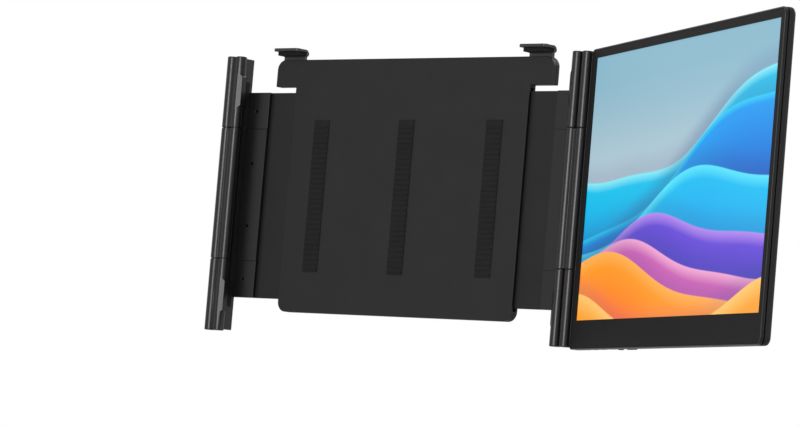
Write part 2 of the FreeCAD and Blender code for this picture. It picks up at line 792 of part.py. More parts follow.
def guide_circles(sketch):
    for across in ("-sizes.guide_x", "sizes.guide_x"):
        for height in ("-sizes.guide_z", "sizes.guide_z"):
            add_circle(sketch, across, height, "sizes.guide_diameter / 2")


slab(guide_posts, guide_circles, f"{FRAME_MIDDLE} - {CHANNEL_DEPTH}", f"{CHANNEL_DEPTH} * 2")
keep(guide_posts)


# Glide strips: slippery plastic strips on the channel's two walls, which the arms run between
def glide_outlines(sketch):
    half = "sizes.glide_height / 2"
    inner = f"({FRAME_HALF} - sizes.glide_length - sizes.slide_gap)"
    outer = f"({FRAME_HALF} - sizes.slide_gap)"
    for height in ("-sizes.glide_z", "sizes.glide_z"):
        add_rectangle(sketch, inner, outer, f"{height} - {half}", f"{height} + {half}")
        add_rectangle(sketch, f"-{outer}", f"-{inner}", f"{height} - {half}", f"{height} + {half}")


GLIDE_THICKNESS = f"({CHANNEL_DEPTH} - sizes.arm_plate_thickness / 2 - sizes.slide_gap)"
front_glide_strips = new_body("front_glide_strips")
slab(front_glide_strips, glide_outlines, f"{FRAME_MIDDLE} - {CHANNEL_DEPTH}", GLIDE_THICKNESS)
rear_glide_strips = new_body("rear_glide_strips")
REAR_GLIDE_FRONT = f"{FRAME_MIDDLE} + {CHANNEL_DEPTH} - {GLIDE_THICKNESS}"
slab(rear_glide_strips, glide_outlines, REAR_GLIDE_FRONT, GLIDE_THICKNESS)
keep(front_glide_strips, rear_glide_strips)

# Rest pads: rubber strips on the front shell, on which the lid's back lies
lid_rest_pads = new_body("lid_rest_pads")


def rest_pad_outlines(sketch):
    half = "sizes.rest_pad_width / 2"
    tall = "sizes.rest_pad_height / 2"
    for middle in ("-sizes.rest_pad_spacing", "0", "sizes.rest_pad_spacing"):
        add_rectangle(sketch, f"{middle} - {half}", f"{middle} + {half}", f"-{tall}", tall)


slab(lid_rest_pads, rest_pad_outlines, "0", "sizes.frame_front")
keep(lid_rest_pads)

# Top clip: a hook over the lid's top edge, on a stem that slides up out of the frame,
# with a rubber block under it that sits on the lid
right_top_clip = new_body("right_top_clip")
STEM_FRONT = f"({FRAME_MIDDLE} - sizes.clip_stem_thickness / 2)"
STEM_BACK = f"({FRAME_MIDDLE} + sizes.clip_stem_thickness / 2)"
CLIP_UNDER = "(sizes.lid_top + sizes.clip_lift)"
CLIP_OVER = f"({CLIP_UNDER} + sizes.clip_thickness)"
clip_section = [
    ("-sizes.clip_front + sizes.clip_chamfer", CLIP_UNDER),
    ("-sizes.clip_front", f"{CLIP_UNDER} + sizes.clip_chamfer"),
    ("-sizes.clip_front", CLIP_OVER),
    (STEM_BACK, CLIP_OVER),
    (STEM_BACK, "sizes.lid_top"),
    (STEM_FRONT, "sizes.lid_top"),
    (STEM_FRONT, CLIP_UNDER),
]
clip_start = sketch_on(right_top_clip, "YZ", "sizes.clip_x - sizes.clip_width / 2")
add_polygon(clip_start, clip_section)
clip_block = pad(right_top_clip, clip_start, "sizes.clip_width")
clip_bent = round_edges(
    right_top_clip,
    clip_block,
    "sizes.clip_bend",
    lambda edge, middle: near(middle.y, STEM_BACK) and near(middle.z, CLIP_OVER),
)
round_edges(
    right_top_clip,
    clip_bent,
    "sizes.clip_corner",
    lambda edge, middle: near(middle.y, "-sizes.clip_front") and is_upright(edge),
)


def stem_outline(sketch):
    half = "sizes.clip_stem_width / 2"
    left = f"sizes.clip_x - {half}"
    add_rectangle(sketch, left, f"sizes.clip_x + {half}", "sizes.clip_stem_end", "sizes.lid_top")


slab(right_top_clip, stem_outline, STEM_FRONT, "sizes.clip_stem_thickness")
right_clip_pad = new_body("right_clip_pad")


def clip_pad_outline(sketch):
    half = "sizes.clip_stem_width / 2"
    left = f"sizes.clip_x - {half}"
    add_rectangle(sketch, left, f"sizes.clip_x + {half}", "sizes.lid_top", CLIP_UNDER)


slab(right_clip_pad, clip_pad_outline, "-sizes.clip_pad_front", f"{STEM_FRONT} + sizes.clip_pad_front")
keep(right_top_clip, mirrored("left_top_clip", right_top_clip, SIDEWAYS))
keep(right_clip_pad, mirrored("left_clip_pad", right_clip_pad, SIDEWAYS))

# Kickstand: a plate hinged at its top on a steel pin between the rear shell's ears
kickstand = new_body("kickstand")
STAND_FRONT = f"({FRAME_BACK} + sizes.stand_gap)"
STAND_LOW = "(sizes.stand_axis_z - sizes.stand_drop)"


def stand_outline(sketch):
    half = "sizes.stand_width / 2"
    add_rectangle(sketch, f"-{half}", half, STAND_LOW, "sizes.stand_axis_z")


stand_plate = slab(kickstand, stand_outline, STAND_FRONT, "sizes.stand_thickness")
round_edges(
    kickstand,
    stand_plate,
    "sizes.stand_round",
    lambda edge, middle: near(middle.z, STAND_LOW) and is_across(edge),
)
knuckle = sketch_on(kickstand, "YZ", "-sizes.stand_width / 2")
add_circle(knuckle, STAND_AXIS_Y, "sizes.stand_axis_z", "sizes.stand_knuckle / 2")
pad(kickstand, knuckle, "sizes.stand_width")
knuckle_bore = sketch_on(kickstand, "YZ", "-sizes.stand_width / 2")
add_circle(knuckle_bore, STAND_AXIS_Y, "sizes.stand_axis_z", "sizes.stand_pin / 2 + sizes.pin_running_gap")
pocket(kickstand, knuckle_bore, "sizes.stand_width", reverse=True)

kickstand_pin = new_body("kickstand_pin")
rod = sketch_on(kickstand_pin, "YZ", f"-{EAR_OUT}")
add_circle(rod, STAND_AXIS_Y, "sizes.stand_axis_z", "sizes.stand_pin / 2")
pad(kickstand_pin, rod, f"{EAR_OUT} * 2")

kickstand_foot = new_body("kickstand_foot")


def foot_outline(sketch):
    half = "sizes.stand_foot_width / 2"
    add_rectangle(sketch, f"-{half}", half, f"{STAND_LOW} - sizes.stand_foot_height", STAND_LOW)


slab(kickstand_foot, foot_outline, STAND_FRONT, "sizes.stand_thickness")
keep(kickstand, kickstand_pin, kickstand_foot)


# Side screen. Its pieces are drawn along the screen from the outer hinge axis, and each one
# is turned with the screen to the angle that it is set to.
LEFT = "sizes.screen_offset"
RIGHT = "(sizes.screen_offset + sizes.hinge_bezel + sizes.display_width + sizes.outer_bezel)"
BOTTOM = "(-sizes.display_bottom - sizes.bottom_bezel)"
TOP = "(-sizes.display_bottom + sizes.display_height + sizes.top_bezel)"
FACE = "sizes.face_setback"
BEZEL_FRONT = f"({FACE} + sizes.bezel_recess)"
BEZEL_BACK = f"({BEZEL_FRONT} + sizes.bezel_thickness)"
RIM_BACK = f"({FACE} + sizes.rim_depth)"
COVER_FRONT = f"({RIM_BACK} + sizes.groove)"
COVER_BACK = f"({COVER_FRONT} + sizes.cover_depth)"
FLOOR = f"({COVER_BACK} - sizes.cover_floor)"
PANEL_BACK = f"({BEZEL_BACK} + sizes.panel_thickness)"
LIGHT_BACK = f"({PANEL_BACK} + sizes.backlight_thickness)"
SUPPORT_BACK = f"({LIGHT_BACK} + sizes.support_thickness)"
LIP_OUT = "(sizes.cover_wall + sizes.fit_gap)"
LIP_IN = f"({LIP_OUT} + sizes.lip_wall)"
PANEL_LOW = "(-sizes.display_bottom - sizes.panel_border_bottom)"


def screen_body(label):
    """A body whose place follows the outer hinge axis and the screen's angle."""
    body = new_body(label)
    body.Placement = FreeCAD.Placement(FreeCAD.Vector(), FreeCAD.Rotation(FreeCAD.Vector(0, 0, 1), -1))
    body.setExpression("Placement.Base.x", OUTER_X)
    body.setExpression("Placement.Base.y", AXIS_Y)
    body.setExpression("Placement.Rotation.Angle", "-sizes.screen_angle")
    return body


def screen_outline(sketch, inset, radius):
    """The screen's outline, drawn in by an inset, with its corner radius."""
    left = f"{LEFT} + {inset}"
    right = f"{RIGHT} - {inset}"
    add_rounded(sketch, left, right, f"{BOTTOM} + {inset}", f"{TOP} - {inset}", radius)


def drawn_in(inset):
    return lambda sketch: screen_outline(sketch, inset, f"sizes.screen_round - {inset}")


# Screen rim: the front frame, with a recess for the bezel and a lip that enters the rear cover
screen_rim = screen_body("screen_rim")
slab(screen_rim, drawn_in("0"), FACE, "sizes.rim_depth")
sink(screen_rim, drawn_in(LIP_IN), FACE, "sizes.rim_depth")
sink(screen_rim, drawn_in("sizes.rim_wall"), FACE, f"{BEZEL_BACK} - {FACE}")
lip = sketch_on(screen_rim, "XZ", f"-{RIM_BACK}")
drawn_in(LIP_OUT)(lip)
drawn_in(LIP_IN)(lip)
pad(screen_rim, lip, "sizes.groove + sizes.lip_entry", reverse=True)
SOCKET_START = "(sizes.first_port - sizes.port_width)"
SOCKET_END = "(sizes.video_port + sizes.video_width)"


def socket_notch(sketch):
    low = f"{BOTTOM} + {LIP_OUT} - sizes.fit_gap"
    high = f"{BOTTOM} + {LIP_IN} + sizes.fit_gap"
    add_rectangle(sketch, SOCKET_START, SOCKET_END, low, high)


sink(screen_rim, socket_notch, RIM_BACK, "sizes.groove + sizes.lip_entry")

# Front bezel: the moulded surround of the display, flush in the rim
front_bezel = screen_body("front_bezel")
BEZEL_INSET = "(sizes.rim_wall + sizes.fit_gap)"
DISPLAY_LEFT = f"({LEFT} + sizes.hinge_bezel)"
DISPLAY_RIGHT = f"({DISPLAY_LEFT} + sizes.display_width)"
DISPLAY_TOP = "(-sizes.display_bottom + sizes.display_height)"


def bezel_outline(sketch):
    drawn_in(BEZEL_INSET)(sketch)
    add_rectangle(sketch, DISPLAY_LEFT, DISPLAY_RIGHT, "-sizes.display_bottom", DISPLAY_TOP)


slab(front_bezel, bezel_outline, BEZEL_FRONT, "sizes.bezel_thickness")


# Display panel, backlight and the stamped plate that carries them
def panel_outline(sketch):
    left = f"{DISPLAY_LEFT} - sizes.panel_border"
    right = f"{DISPLAY_RIGHT} + sizes.panel_border"
    add_rectangle(sketch, left, right, PANEL_LOW, f"{DISPLAY_TOP} + sizes.panel_border")


display_panel = screen_body("display_panel")
slab(display_panel, panel_outline, BEZEL_BACK, "sizes.panel_thickness")
backlight = screen_body("backlight")
slab(backlight, panel_outline, PANEL_BACK, "sizes.backlight_thickness")
panel_support_plate = screen_body("panel_support_plate")
SUPPORT_INSET = f"({LIP_IN} + sizes.support_gap)"


def support_outline(sketch):
    left = f"{LEFT} + {SUPPORT_INSET}"
    right = f"{RIGHT} - {SUPPORT_INSET}"
    radius = f"sizes.screen_round - {SUPPORT_INSET}"
    add_rounded(sketch, left, right, PANEL_LOW, f"{TOP} - {SUPPORT_INSET}", radius)


def tab_screw_circles(sketch, radius):
    middle = f"({SEAM_TOP} + sizes.segment_length / 2)"
    for across in ("sizes.tab_screw_near", "sizes.tab_screw_far"):
        for side in ("", "-"):
            for shift in ("+", "-"):
                add_circle(sketch, across, f"{side}({middle} {shift} sizes.tab_screw_rise)", radius)


def cover_screw_circles(sketch, radius):
    middle = f"({LEFT} + {RIGHT}) / 2"
    for across in ("sizes.boss_hinge_side", middle, f"{RIGHT} - sizes.boss_outer_side"):
        for height in (f"{TOP} - sizes.boss_top", f"{BOTTOM} + sizes.boss_bottom"):
            add_circle(sketch, across, height, radius)


COVER_SCREW = "sizes.cover_screw_diameter / 2"
COVER_SCREW_HEAD = "sizes.cover_screw_head / 2"


def tab_screw_holes(sketch):
    tab_screw_circles(sketch, COVER_SCREW)


def tab_screw_heads(sketch):
    tab_screw_circles(sketch, COVER_SCREW_HEAD)


def cover_screw_holes(sketch):
    cover_screw_circles(sketch, COVER_SCREW)


def cover_screw_heads(sketch):
    cover_screw_circles(sketch, COVER_SCREW_HEAD)


def plate_holes(sketch):
    tab_screw_holes(sketch)
    cover_screw_holes(sketch)


slab(panel_support_plate, support_outline, LIGHT_BACK, "sizes.support_thickness")
sink(panel_support_plate, plate_holes, LIGHT_BACK, "sizes.support_thickness")
keep(screen_rim, front_bezel, display_panel, backlight, panel_support_plate)

# Screen barrel: the casting that turns on the outer pins. Its neck passes behind the rim
# and its tab is screwed to the support plate.
screen_barrel_upper = screen_body("screen_barrel_upper")
round_barrel(screen_barrel_upper, "0", "0")
TAB_MIDDLE = f"({SEAM_TOP} + sizes.segment_length / 2)"
TAB_BACK = f"({SUPPORT_BACK} + sizes.tab_thickness)"
WALL_IN = f"({LEFT} + sizes.cover_wall)"
ON_BARREL_BACK = ("0", f"{BARREL} * 0.8")
ON_BARREL_SIDE = (f"{BARREL} * 0.85", f"{BARREL} * 0.1")
barrel_neck = [
    ON_BARREL_BACK,
    (f"{LEFT} / 2", "sizes.neck_bulge"),
    (f"{WALL_IN} + sizes.neck_run", "sizes.neck_bulge"),
    (f"{WALL_IN} + sizes.neck_run + sizes.neck_slope", TAB_BACK),
    ("sizes.tab_reach", TAB_BACK),
    ("sizes.tab_reach", SUPPORT_BACK),
    (f"{WALL_IN} - sizes.fit_gap", SUPPORT_BACK),
    (f"{WALL_IN} - sizes.fit_gap", f"{COVER_FRONT} + sizes.fit_gap"),
    (f"{LEFT} - sizes.link_clearance", f"{COVER_FRONT} + sizes.fit_gap"),
    ON_BARREL_SIDE,
]
rise(
    screen_barrel_upper,
    lambda s: add_polygon(s, barrel_neck),
    f"{TAB_MIDDLE} - sizes.tab_half_height",
    "sizes.tab_half_height * 2",
)


def upper_tab_screws(sketch):
    for across in ("sizes.tab_screw_near", "sizes.tab_screw_far"):
        for shift in ("+", "-"):
            add_circle(sketch, across, f"{TAB_MIDDLE} {shift} sizes.tab_screw_rise", COVER_SCREW)


sink(screen_barrel_upper, upper_tab_screws, SUPPORT_BACK, "sizes.tab_thickness")
bore_up(screen_barrel_upper, lambda s: add_circle(s, "0", "0", SLEEVE_OUT), SEAM_TOP, BORE_DEPTH)
keep(screen_barrel_upper, mirrored("screen_barrel_lower", screen_barrel_upper, UPRIGHT))
outer_sleeve_upper = screen_body("outer_sleeve_upper")
rise(outer_sleeve_upper, lambda s: add_circle(s, "0", "0", SLEEVE_OUT), SEAM_TOP, "sizes.sleeve_length")
bore_up(outer_sleeve_upper, lambda s: add_circle(s, "0", "0", SLEEVE_IN), SEAM_TOP, "sizes.sleeve_length")
keep(outer_sleeve_upper, mirrored("outer_sleeve_lower", outer_sleeve_upper, UPRIGHT))

hinge_tab_screws = screen_body("hinge_tab_screws")
slab(hinge_tab_screws, tab_screw_holes, LIGHT_BACK, f"{TAB_BACK} - {LIGHT_BACK}")
slab(hinge_tab_screws, tab_screw_heads, TAB_BACK, "sizes.tab_screw_head_height")
keep(hinge_tab_screws)


# Sockets and buttons share these outlines in the screen's lower edge
BOARD_BACK = "(sizes.board_front + sizes.board_thickness)"
PORT_MIDDLE = f"({BOARD_BACK} + sizes.port_height / 2)"
ports = [("sizes.first_port", "sizes.port_width"), ("sizes.second_port", "sizes.port_width")]
ports.append(("sizes.video_port", "sizes.video_width"))
buttons = [("sizes.power_x", "sizes.power_width"), ("sizes.rocker_x", "sizes.rocker_width")]


def socket_shape(sketch, middle, width, grow):
    """A socket's outline, grown or shrunk all round."""
    half = f"({width} / 2 + {grow})"
    tall = f"(sizes.port_height / 2 + {grow})"
    low = f"{PORT_MIDDLE} - {tall}"
    high = f"{PORT_MIDDLE} + {tall}"
    radius = f"{tall} - sizes.socket_flat / 2"
    add_rounded(sketch, f"{middle} - {half}", f"{middle} + {half}", low, high, radius)


def button_shape(sketch, middle, width, grow):
    half = f"({width} / 2 + {grow})"
    tall = f"(sizes.button_thickness / 2 + {grow})"
    low = f"sizes.button_middle - {tall}"
    high = f"sizes.button_middle + {tall}"
    radius = f"{tall} - sizes.button_flat / 2"
    add_rounded(sketch, f"{middle} - {half}", f"{middle} + {half}", low, high, radius)


# Rear cover: a moulded tray with screw bosses, vents, openings for sockets and buttons,
# and a notch in its hinge side for each barrel's neck
screen_rear_cover = screen_body("screen_rear_cover")
cover_block = slab(screen_rear_cover, drawn_in("0"), COVER_FRONT, "sizes.cover_depth")
cover_soft = round_edges(
    screen_rear_cover,
    cover_block,
    "sizes.cover_round",
    lambda edge, middle: near(edge.BoundBox.YMin, COVER_BACK),
)
sink(screen_rear_cover, drawn_in("sizes.cover_wall"), COVER_FRONT, f"{FLOOR} - {COVER_FRONT}")
slab(
    screen_rear_cover,
    lambda s: cover_screw_circles(s, "sizes.boss_diameter / 2"),
    SUPPORT_BACK,
    f"{FLOOR} - {SUPPORT_BACK}",
)
sink(screen_rear_cover, cover_screw_holes, SUPPORT_BACK, f"{COVER_BACK} - {SUPPORT_BACK}")
COVER_SINK = f"({COVER_BACK} - sizes.cover_screw_sink)"
sink(screen_rear_cover, cover_screw_heads, COVER_SINK, "sizes.cover_screw_sink")


def neck_notches(sketch):
    reach = "(sizes.tab_half_height + sizes.fit_gap)"
    for side in ("", "-"):
        low = f"{side}({TAB_MIDDLE} - {reach})"
        high = f"{side}({TAB_MIDDLE} + {reach})"
        add_rectangle(sketch, f"{LEFT} - sizes.cut_over", f"{WALL_IN} + sizes.fit_gap * 2", low, high)


sink(screen_rear_cover, neck_notches, COVER_FRONT, f"sizes.neck_bulge + sizes.fit_gap - {COVER_FRONT}")


def edge_openings(sketch):
    for middle, width in ports:
        socket_shape(sketch, middle, width, "sizes.opening_gap")
    for middle, width in buttons:
        button_shape(sketch, middle, width, "sizes.button_gap")


THROUGH_WALL = "sizes.cover_wall + sizes.cut_over * 2"
bore_up(screen_rear_cover, edge_openings, f"{BOTTOM} - sizes.cut_over", THROUGH_WALL)


def first_vents(sketch):
    for middle in (f"{LEFT} + sizes.vent_inset", f"{RIGHT} - sizes.vent_inset"):
        left = f"{middle} - sizes.vent_length / 2"
        right = f"{middle} + sizes.vent_length / 2"
        low = f"{BOTTOM} + sizes.vent_drop"
        add_rectangle(sketch, left, right, low, f"{low} + sizes.vent_height")


vents = sink(screen_rear_cover, first_vents, FLOOR, "sizes.cover_floor")
vent_rows = screen_rear_cover.newObject("PartDesign::LinearPattern", "vent_rows")
vent_rows.Originals = [vents]
vent_rows.Direction = (vents.Profile[0], ["V_Axis"])
vent_rows.setExpression("Length", "sizes.vent_pitch * (sizes.vent_count - 1)")
vent_rows.setExpression("Occurrences", "sizes.vent_count")
screen_rear_cover.Tip = vent_rows
doc.recompute()
keep(screen_rear_cover)

rear_cover_screws = screen_body("rear_cover_screws")
slab(rear_cover_screws, cover_screw_holes, LIGHT_BACK, f"{COVER_SINK} - {LIGHT_BACK}")
slab(rear_cover_screws, cover_screw_heads, COVER_SINK, "sizes.cover_screw_sink - sizes.fit_gap")
keep(rear_cover_screws)

# Controller board in the lower bezel, with its sockets, switches and the panel's flat cable
controller_board = screen_body("controller_board")
BOARD_LOW = f"({BOTTOM} + {LIP_IN} + sizes.support_gap)"
BOARD_END = "sizes.board_start + sizes.board_length"


def board_outline(sketch):
    high = f"{BOARD_LOW} + sizes.board_height"
    add_rectangle(sketch, "sizes.board_start", BOARD_END, BOARD_LOW, high)


slab(controller_board, board_outline, "sizes.board_front", "sizes.board_thickness")
keep(controller_board)


def socket(label, middle, width, tongue):
    """A pressed steel shell, open at the edge, with the tongue that carries its contacts."""
    body = screen_body(label)
    start = f"{BOTTOM} + sizes.socket_inset"
    rise(body, lambda s: socket_shape(s, middle, width, "0"), start, "sizes.socket_depth")
    deep = "sizes.socket_depth - sizes.socket_back"
    bore_up(body, lambda s: socket_shape(s, middle, width, "-sizes.socket_wall"), start, deep)
    half = f"({tongue} / 2)"
    thin = "(sizes.tongue_thickness / 2)"

    def tongue_outline(sketch):
        low = f"{PORT_MIDDLE} - {thin}"
        high = f"{PORT_MIDDLE} + {thin}"
        add_rectangle(sketch, f"{middle} - {half}", f"{middle} + {half}", low, high)

    rise(body, tongue_outline, f"{start} + sizes.socket_back", deep)
    return body


keep(socket("usb_port_near", "sizes.first_port", "sizes.port_width", "sizes.tongue_width"))
keep(socket("usb_port_far", "sizes.second_port", "sizes.port_width", "sizes.tongue_width"))
keep(socket("video_port", "sizes.video_port", "sizes.video_width", "sizes.video_tongue_width"))


def button(label, middle, width):
    body = screen_body(label)
    start = f"{BOTTOM} - sizes.button_proud"
    length = "sizes.button_proud + sizes.button_depth"
    rise(body, lambda s: button_shape(s, middle, width, "0"), start, length)
    return body


menu_rocker = button("menu_rocker", "sizes.rocker_x", "sizes.rocker_width")


def rocker_pivot(sketch):
    """The trunnion that the rocker tilts on, just inside the cover's wall."""
    add_circle(sketch, "sizes.rocker_x", f"{BOTTOM} + sizes.rocker_pivot_rise", "sizes.rocker_pivot / 2")


PIVOT_FRONT = "sizes.button_middle - sizes.button_thickness / 2 - sizes.rocker_pivot_step"
PIVOT_LENGTH = "sizes.button_thickness + sizes.rocker_pivot_step * 2"
slab(menu_rocker, rocker_pivot, PIVOT_FRONT, PIVOT_LENGTH)
keep(button("power_button", "sizes.power_x", "sizes.power_width"), menu_rocker)

tact_switches = screen_body("tact_switches")
SWITCH_LOW = f"({BOTTOM} + sizes.button_depth + sizes.switch_gap)"
ROCKER_END = "(sizes.rocker_width / 3)"


def switch_outlines(sketch):
    half = "sizes.switch_width / 2"
    for middle in ("sizes.power_x", f"sizes.rocker_x - {ROCKER_END}", f"sizes.rocker_x + {ROCKER_END}"):
        high = f"{SWITCH_LOW} + sizes.switch_height"
        add_rectangle(sketch, f"{middle} - {half}", f"{middle} + {half}", SWITCH_LOW, high)


slab(tact_switches, switch_outlines, BOARD_BACK, f"{FLOOR} - {BOARD_BACK} - sizes.support_gap")
keep(tact_switches)

panel_flex_cable = screen_body("panel_flex_cable")
FLEX_UP = f"({BOARD_LOW} + sizes.board_height)"
THIN = "sizes.flex_thickness"
flex_section = [
    (BOARD_BACK, f"{FLEX_UP} - sizes.flex_foot"),
    (f"{BOARD_BACK} + {THIN}", f"{FLEX_UP} - sizes.flex_foot"),
    (f"{BOARD_BACK} + {THIN}", f"{FLEX_UP} - {THIN}"),
    (f"{SUPPORT_BACK} + {THIN}", f"{FLEX_UP} - {THIN}"),
    (f"{SUPPORT_BACK} + {THIN}", f"{FLEX_UP} + sizes.flex_reach"),
    (SUPPORT_BACK, f"{FLEX_UP} + sizes.flex_reach"),
    (SUPPORT_BACK, FLEX_UP),
    (BOARD_BACK, FLEX_UP),
]
flex = sketch_on(panel_flex_cable, "YZ", "sizes.flex_x")
add_polygon(flex, flex_section)
pad(panel_flex_cable, flex, "sizes.flex_width")
keep(panel_flex_cable)

# Checks on every object, then one file for each piece
doc.recompute()
for item in doc.Objects:
    broken = [state for state in item.State if state in ("Invalid", "Error")]
    assert not broken, f"{item.Label} is {broken}"
for piece in parts:
    assert not piece.Shape.isNull() and piece.Shape.isValid(), f"{piece.Label} has no valid shape"
os.makedirs("parts", exist_ok=True)
for piece in parts:
    piece.Shape.exportStep(f"parts/{piece.Label}.step")
print(len(parts), "parts written")
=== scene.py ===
import json
import math

import bpy
from mathutils import Matrix, Vector

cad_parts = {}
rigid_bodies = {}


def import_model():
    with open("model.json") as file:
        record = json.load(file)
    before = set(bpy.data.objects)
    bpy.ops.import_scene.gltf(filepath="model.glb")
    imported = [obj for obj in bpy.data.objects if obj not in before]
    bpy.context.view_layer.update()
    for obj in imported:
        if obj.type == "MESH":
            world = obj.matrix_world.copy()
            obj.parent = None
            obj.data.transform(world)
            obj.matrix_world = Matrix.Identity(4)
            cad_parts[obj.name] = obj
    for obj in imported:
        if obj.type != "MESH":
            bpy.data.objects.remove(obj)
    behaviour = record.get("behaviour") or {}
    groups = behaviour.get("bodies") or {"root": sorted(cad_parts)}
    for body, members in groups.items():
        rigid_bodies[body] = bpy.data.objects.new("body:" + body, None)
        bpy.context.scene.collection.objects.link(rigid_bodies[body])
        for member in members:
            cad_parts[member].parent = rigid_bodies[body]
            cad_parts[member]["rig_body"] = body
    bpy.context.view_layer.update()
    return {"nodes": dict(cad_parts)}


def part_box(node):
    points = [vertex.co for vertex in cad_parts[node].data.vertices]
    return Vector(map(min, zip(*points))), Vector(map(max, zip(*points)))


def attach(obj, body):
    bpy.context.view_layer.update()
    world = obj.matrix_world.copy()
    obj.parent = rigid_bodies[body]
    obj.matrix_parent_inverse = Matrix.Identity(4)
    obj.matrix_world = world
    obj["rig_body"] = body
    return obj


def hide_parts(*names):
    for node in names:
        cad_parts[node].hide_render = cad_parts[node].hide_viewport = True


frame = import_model()


# The view: a long lens far off at the user's right and a little below the middle of the
# columns, so that their lines stay nearly parallel.
LENS = 179.55
SENSOR_WIDTH = 36.0
CAMERA_PLACE = (2.0759, -2.2503, -0.2245)
CAMERA_RIGHT = (0.7366, 0.6711, 0.0835)
CAMERA_UP = (-0.0148, -0.1074, 0.9941)
CAMERA_REACH = 100.0

camera_data = bpy.data.cameras.new("camera")
camera_data.lens = LENS
camera_data.sensor_width = SENSOR_WIDTH
camera_data.clip_end = CAMERA_REACH
camera = bpy.data.objects.new("camera", camera_data)
bpy.context.scene.collection.objects.link(camera)
right = Vector(CAMERA_RIGHT).normalized()
back = right.cross(Vector(CAMERA_UP)).normalized()
up = back.cross(right)
facing = Matrix((right, up, back)).transposed().to_4x4()
camera.matrix_world = Matrix.Translation(Vector(CAMERA_PLACE)) @ facing
bpy.context.scene.camera = camera
bpy.context.scene.view_settings.view_transform = "Standard"


# The studio: a pale floor well below the part, four soft lamps, of which the first draws a
# line of light down each barrel, and a white surround.
FLOOR_HEIGHT = -0.30
FLOOR_SIZE = 40.0
FLOOR_COLOUR = (0.86, 0.86, 0.86, 1)
FLOOR_ROUGH = 0.9
FLOOR_SHEEN = 0.2
WHITE = (1, 1, 1, 1)
SURROUND_LIGHT = 0.45
MIDDLE = Vector((0.15, -0.05, 0.0))
# each lamp's place, the width and height of its soft box, and its watts
LAMPS = {
    "key_lamp": ((0.50, -2.4, 0.25), (0.7, 0.8), 38),
    "side_lamp": ((3.0, 0.6, 0.4), (0.5, 0.9), 10),
    "top_lamp": ((0.5, -1.2, 2.6), (1.2, 0.8), 12),
    "back_lamp": ((0.4, 2.3, 1.4), (1.6, 1.0), 30),
}

bpy.ops.object.select_all(action="DESELECT")
bpy.ops.mesh.primitive_plane_add(size=FLOOR_SIZE, location=(0, 0, FLOOR_HEIGHT))
floor = bpy.context.object
floor.name = "floor"
bpy.ops.object.transform_apply(location=True, rotation=True, scale=True)
floor_paper = bpy.data.materials.new("floor_paper")
floor_paper.use_nodes = True
floor_shader = floor_paper.node_tree.nodes["Principled BSDF"]
floor_shader.inputs["Base Color"].default_value = FLOOR_COLOUR
floor_shader.inputs["Roughness"].default_value = FLOOR_ROUGH
floor_shader.inputs["Specular IOR Level"].default_value = FLOOR_SHEEN
floor.data.materials.append(floor_paper)

world = bpy.data.worlds.new("surround")
world.use_nodes = True
bpy.context.scene.world = world
tree = world.node_tree
rays = tree.nodes.new("ShaderNodeLightPath")
lit = tree.nodes["Background"]
lit.inputs["Color"].default_value = WHITE
lit.inputs["Strength"].default_value = SURROUND_LIGHT
shown = tree.nodes.new("ShaderNodeBackground")
shown.inputs["Color"].default_value = WHITE
shown.inputs["Strength"].default_value = 1.0
chosen = tree.nodes.new("ShaderNodeMixShader")
seen = rays.outputs["Is Camera Ray"]
for ray in ("Is Glossy Ray", "Is Transmission Ray"):
    either = tree.nodes.new("ShaderNodeMath")
    either.operation = "MAXIMUM"
    tree.links.new(seen, either.inputs[0])
    tree.links.new(rays.outputs[ray], either.inputs[1])
    seen = either.outputs[0]
tree.links.new(seen, chosen.inputs["Fac"])
tree.links.new(lit.outputs[0], chosen.inputs[1])
tree.links.new(shown.outputs[0], chosen.inputs[2])
tree.links.new(chosen.outputs[0], tree.nodes["World Output"].inputs["Surface"])

for name, (place, size, power) in LAMPS.items():
    data = bpy.data.lights.new(name, "AREA")
    data.shape = "RECTANGLE"
    data.size, data.size_y = size
    data.energy = power
    lamp = bpy.data.objects.new(name, data)
    bpy.context.scene.collection.objects.link(lamp)
    lamp.location = place
    lamp.rotation_euler = (MIDDLE - Vector(place)).to_track_quat("-Z", "Y").to_euler()


# Hinge columns: die-cast end segments, the link or the cover between them, the display's own
# barrels and the spines behind, tumbled so that no edge is sharp, and coated satin black.
MERGE = 1e-6
FLAT = math.radians(0.6)
SMOOTH = math.radians(32)
SHARP = 34
FLATS_FIRST = 100
FINE_STEP = 0.8
EASE_STEPS = 3
COLUMN_EASE = 0.00022
SPINE_EASE = 0.00025
END_ROUND = 0.0016
SEAM_ROUND = 0.0004
NEAR = 1e-5
UPRIGHT = 0.5
BARREL_RADIUS = 0.0044
BOSS_RADIUS = 0.0036
BOSS_SIDES = 48
SHEEN = 0.2
CLOUD_SCALE = 38.0
CLOUD_DETAIL = 3.0
GRAIN_DETAIL = 4.0
RELIEF_DEPTH = 0.0001


def grey(level):
    return (level, level, level, 1)


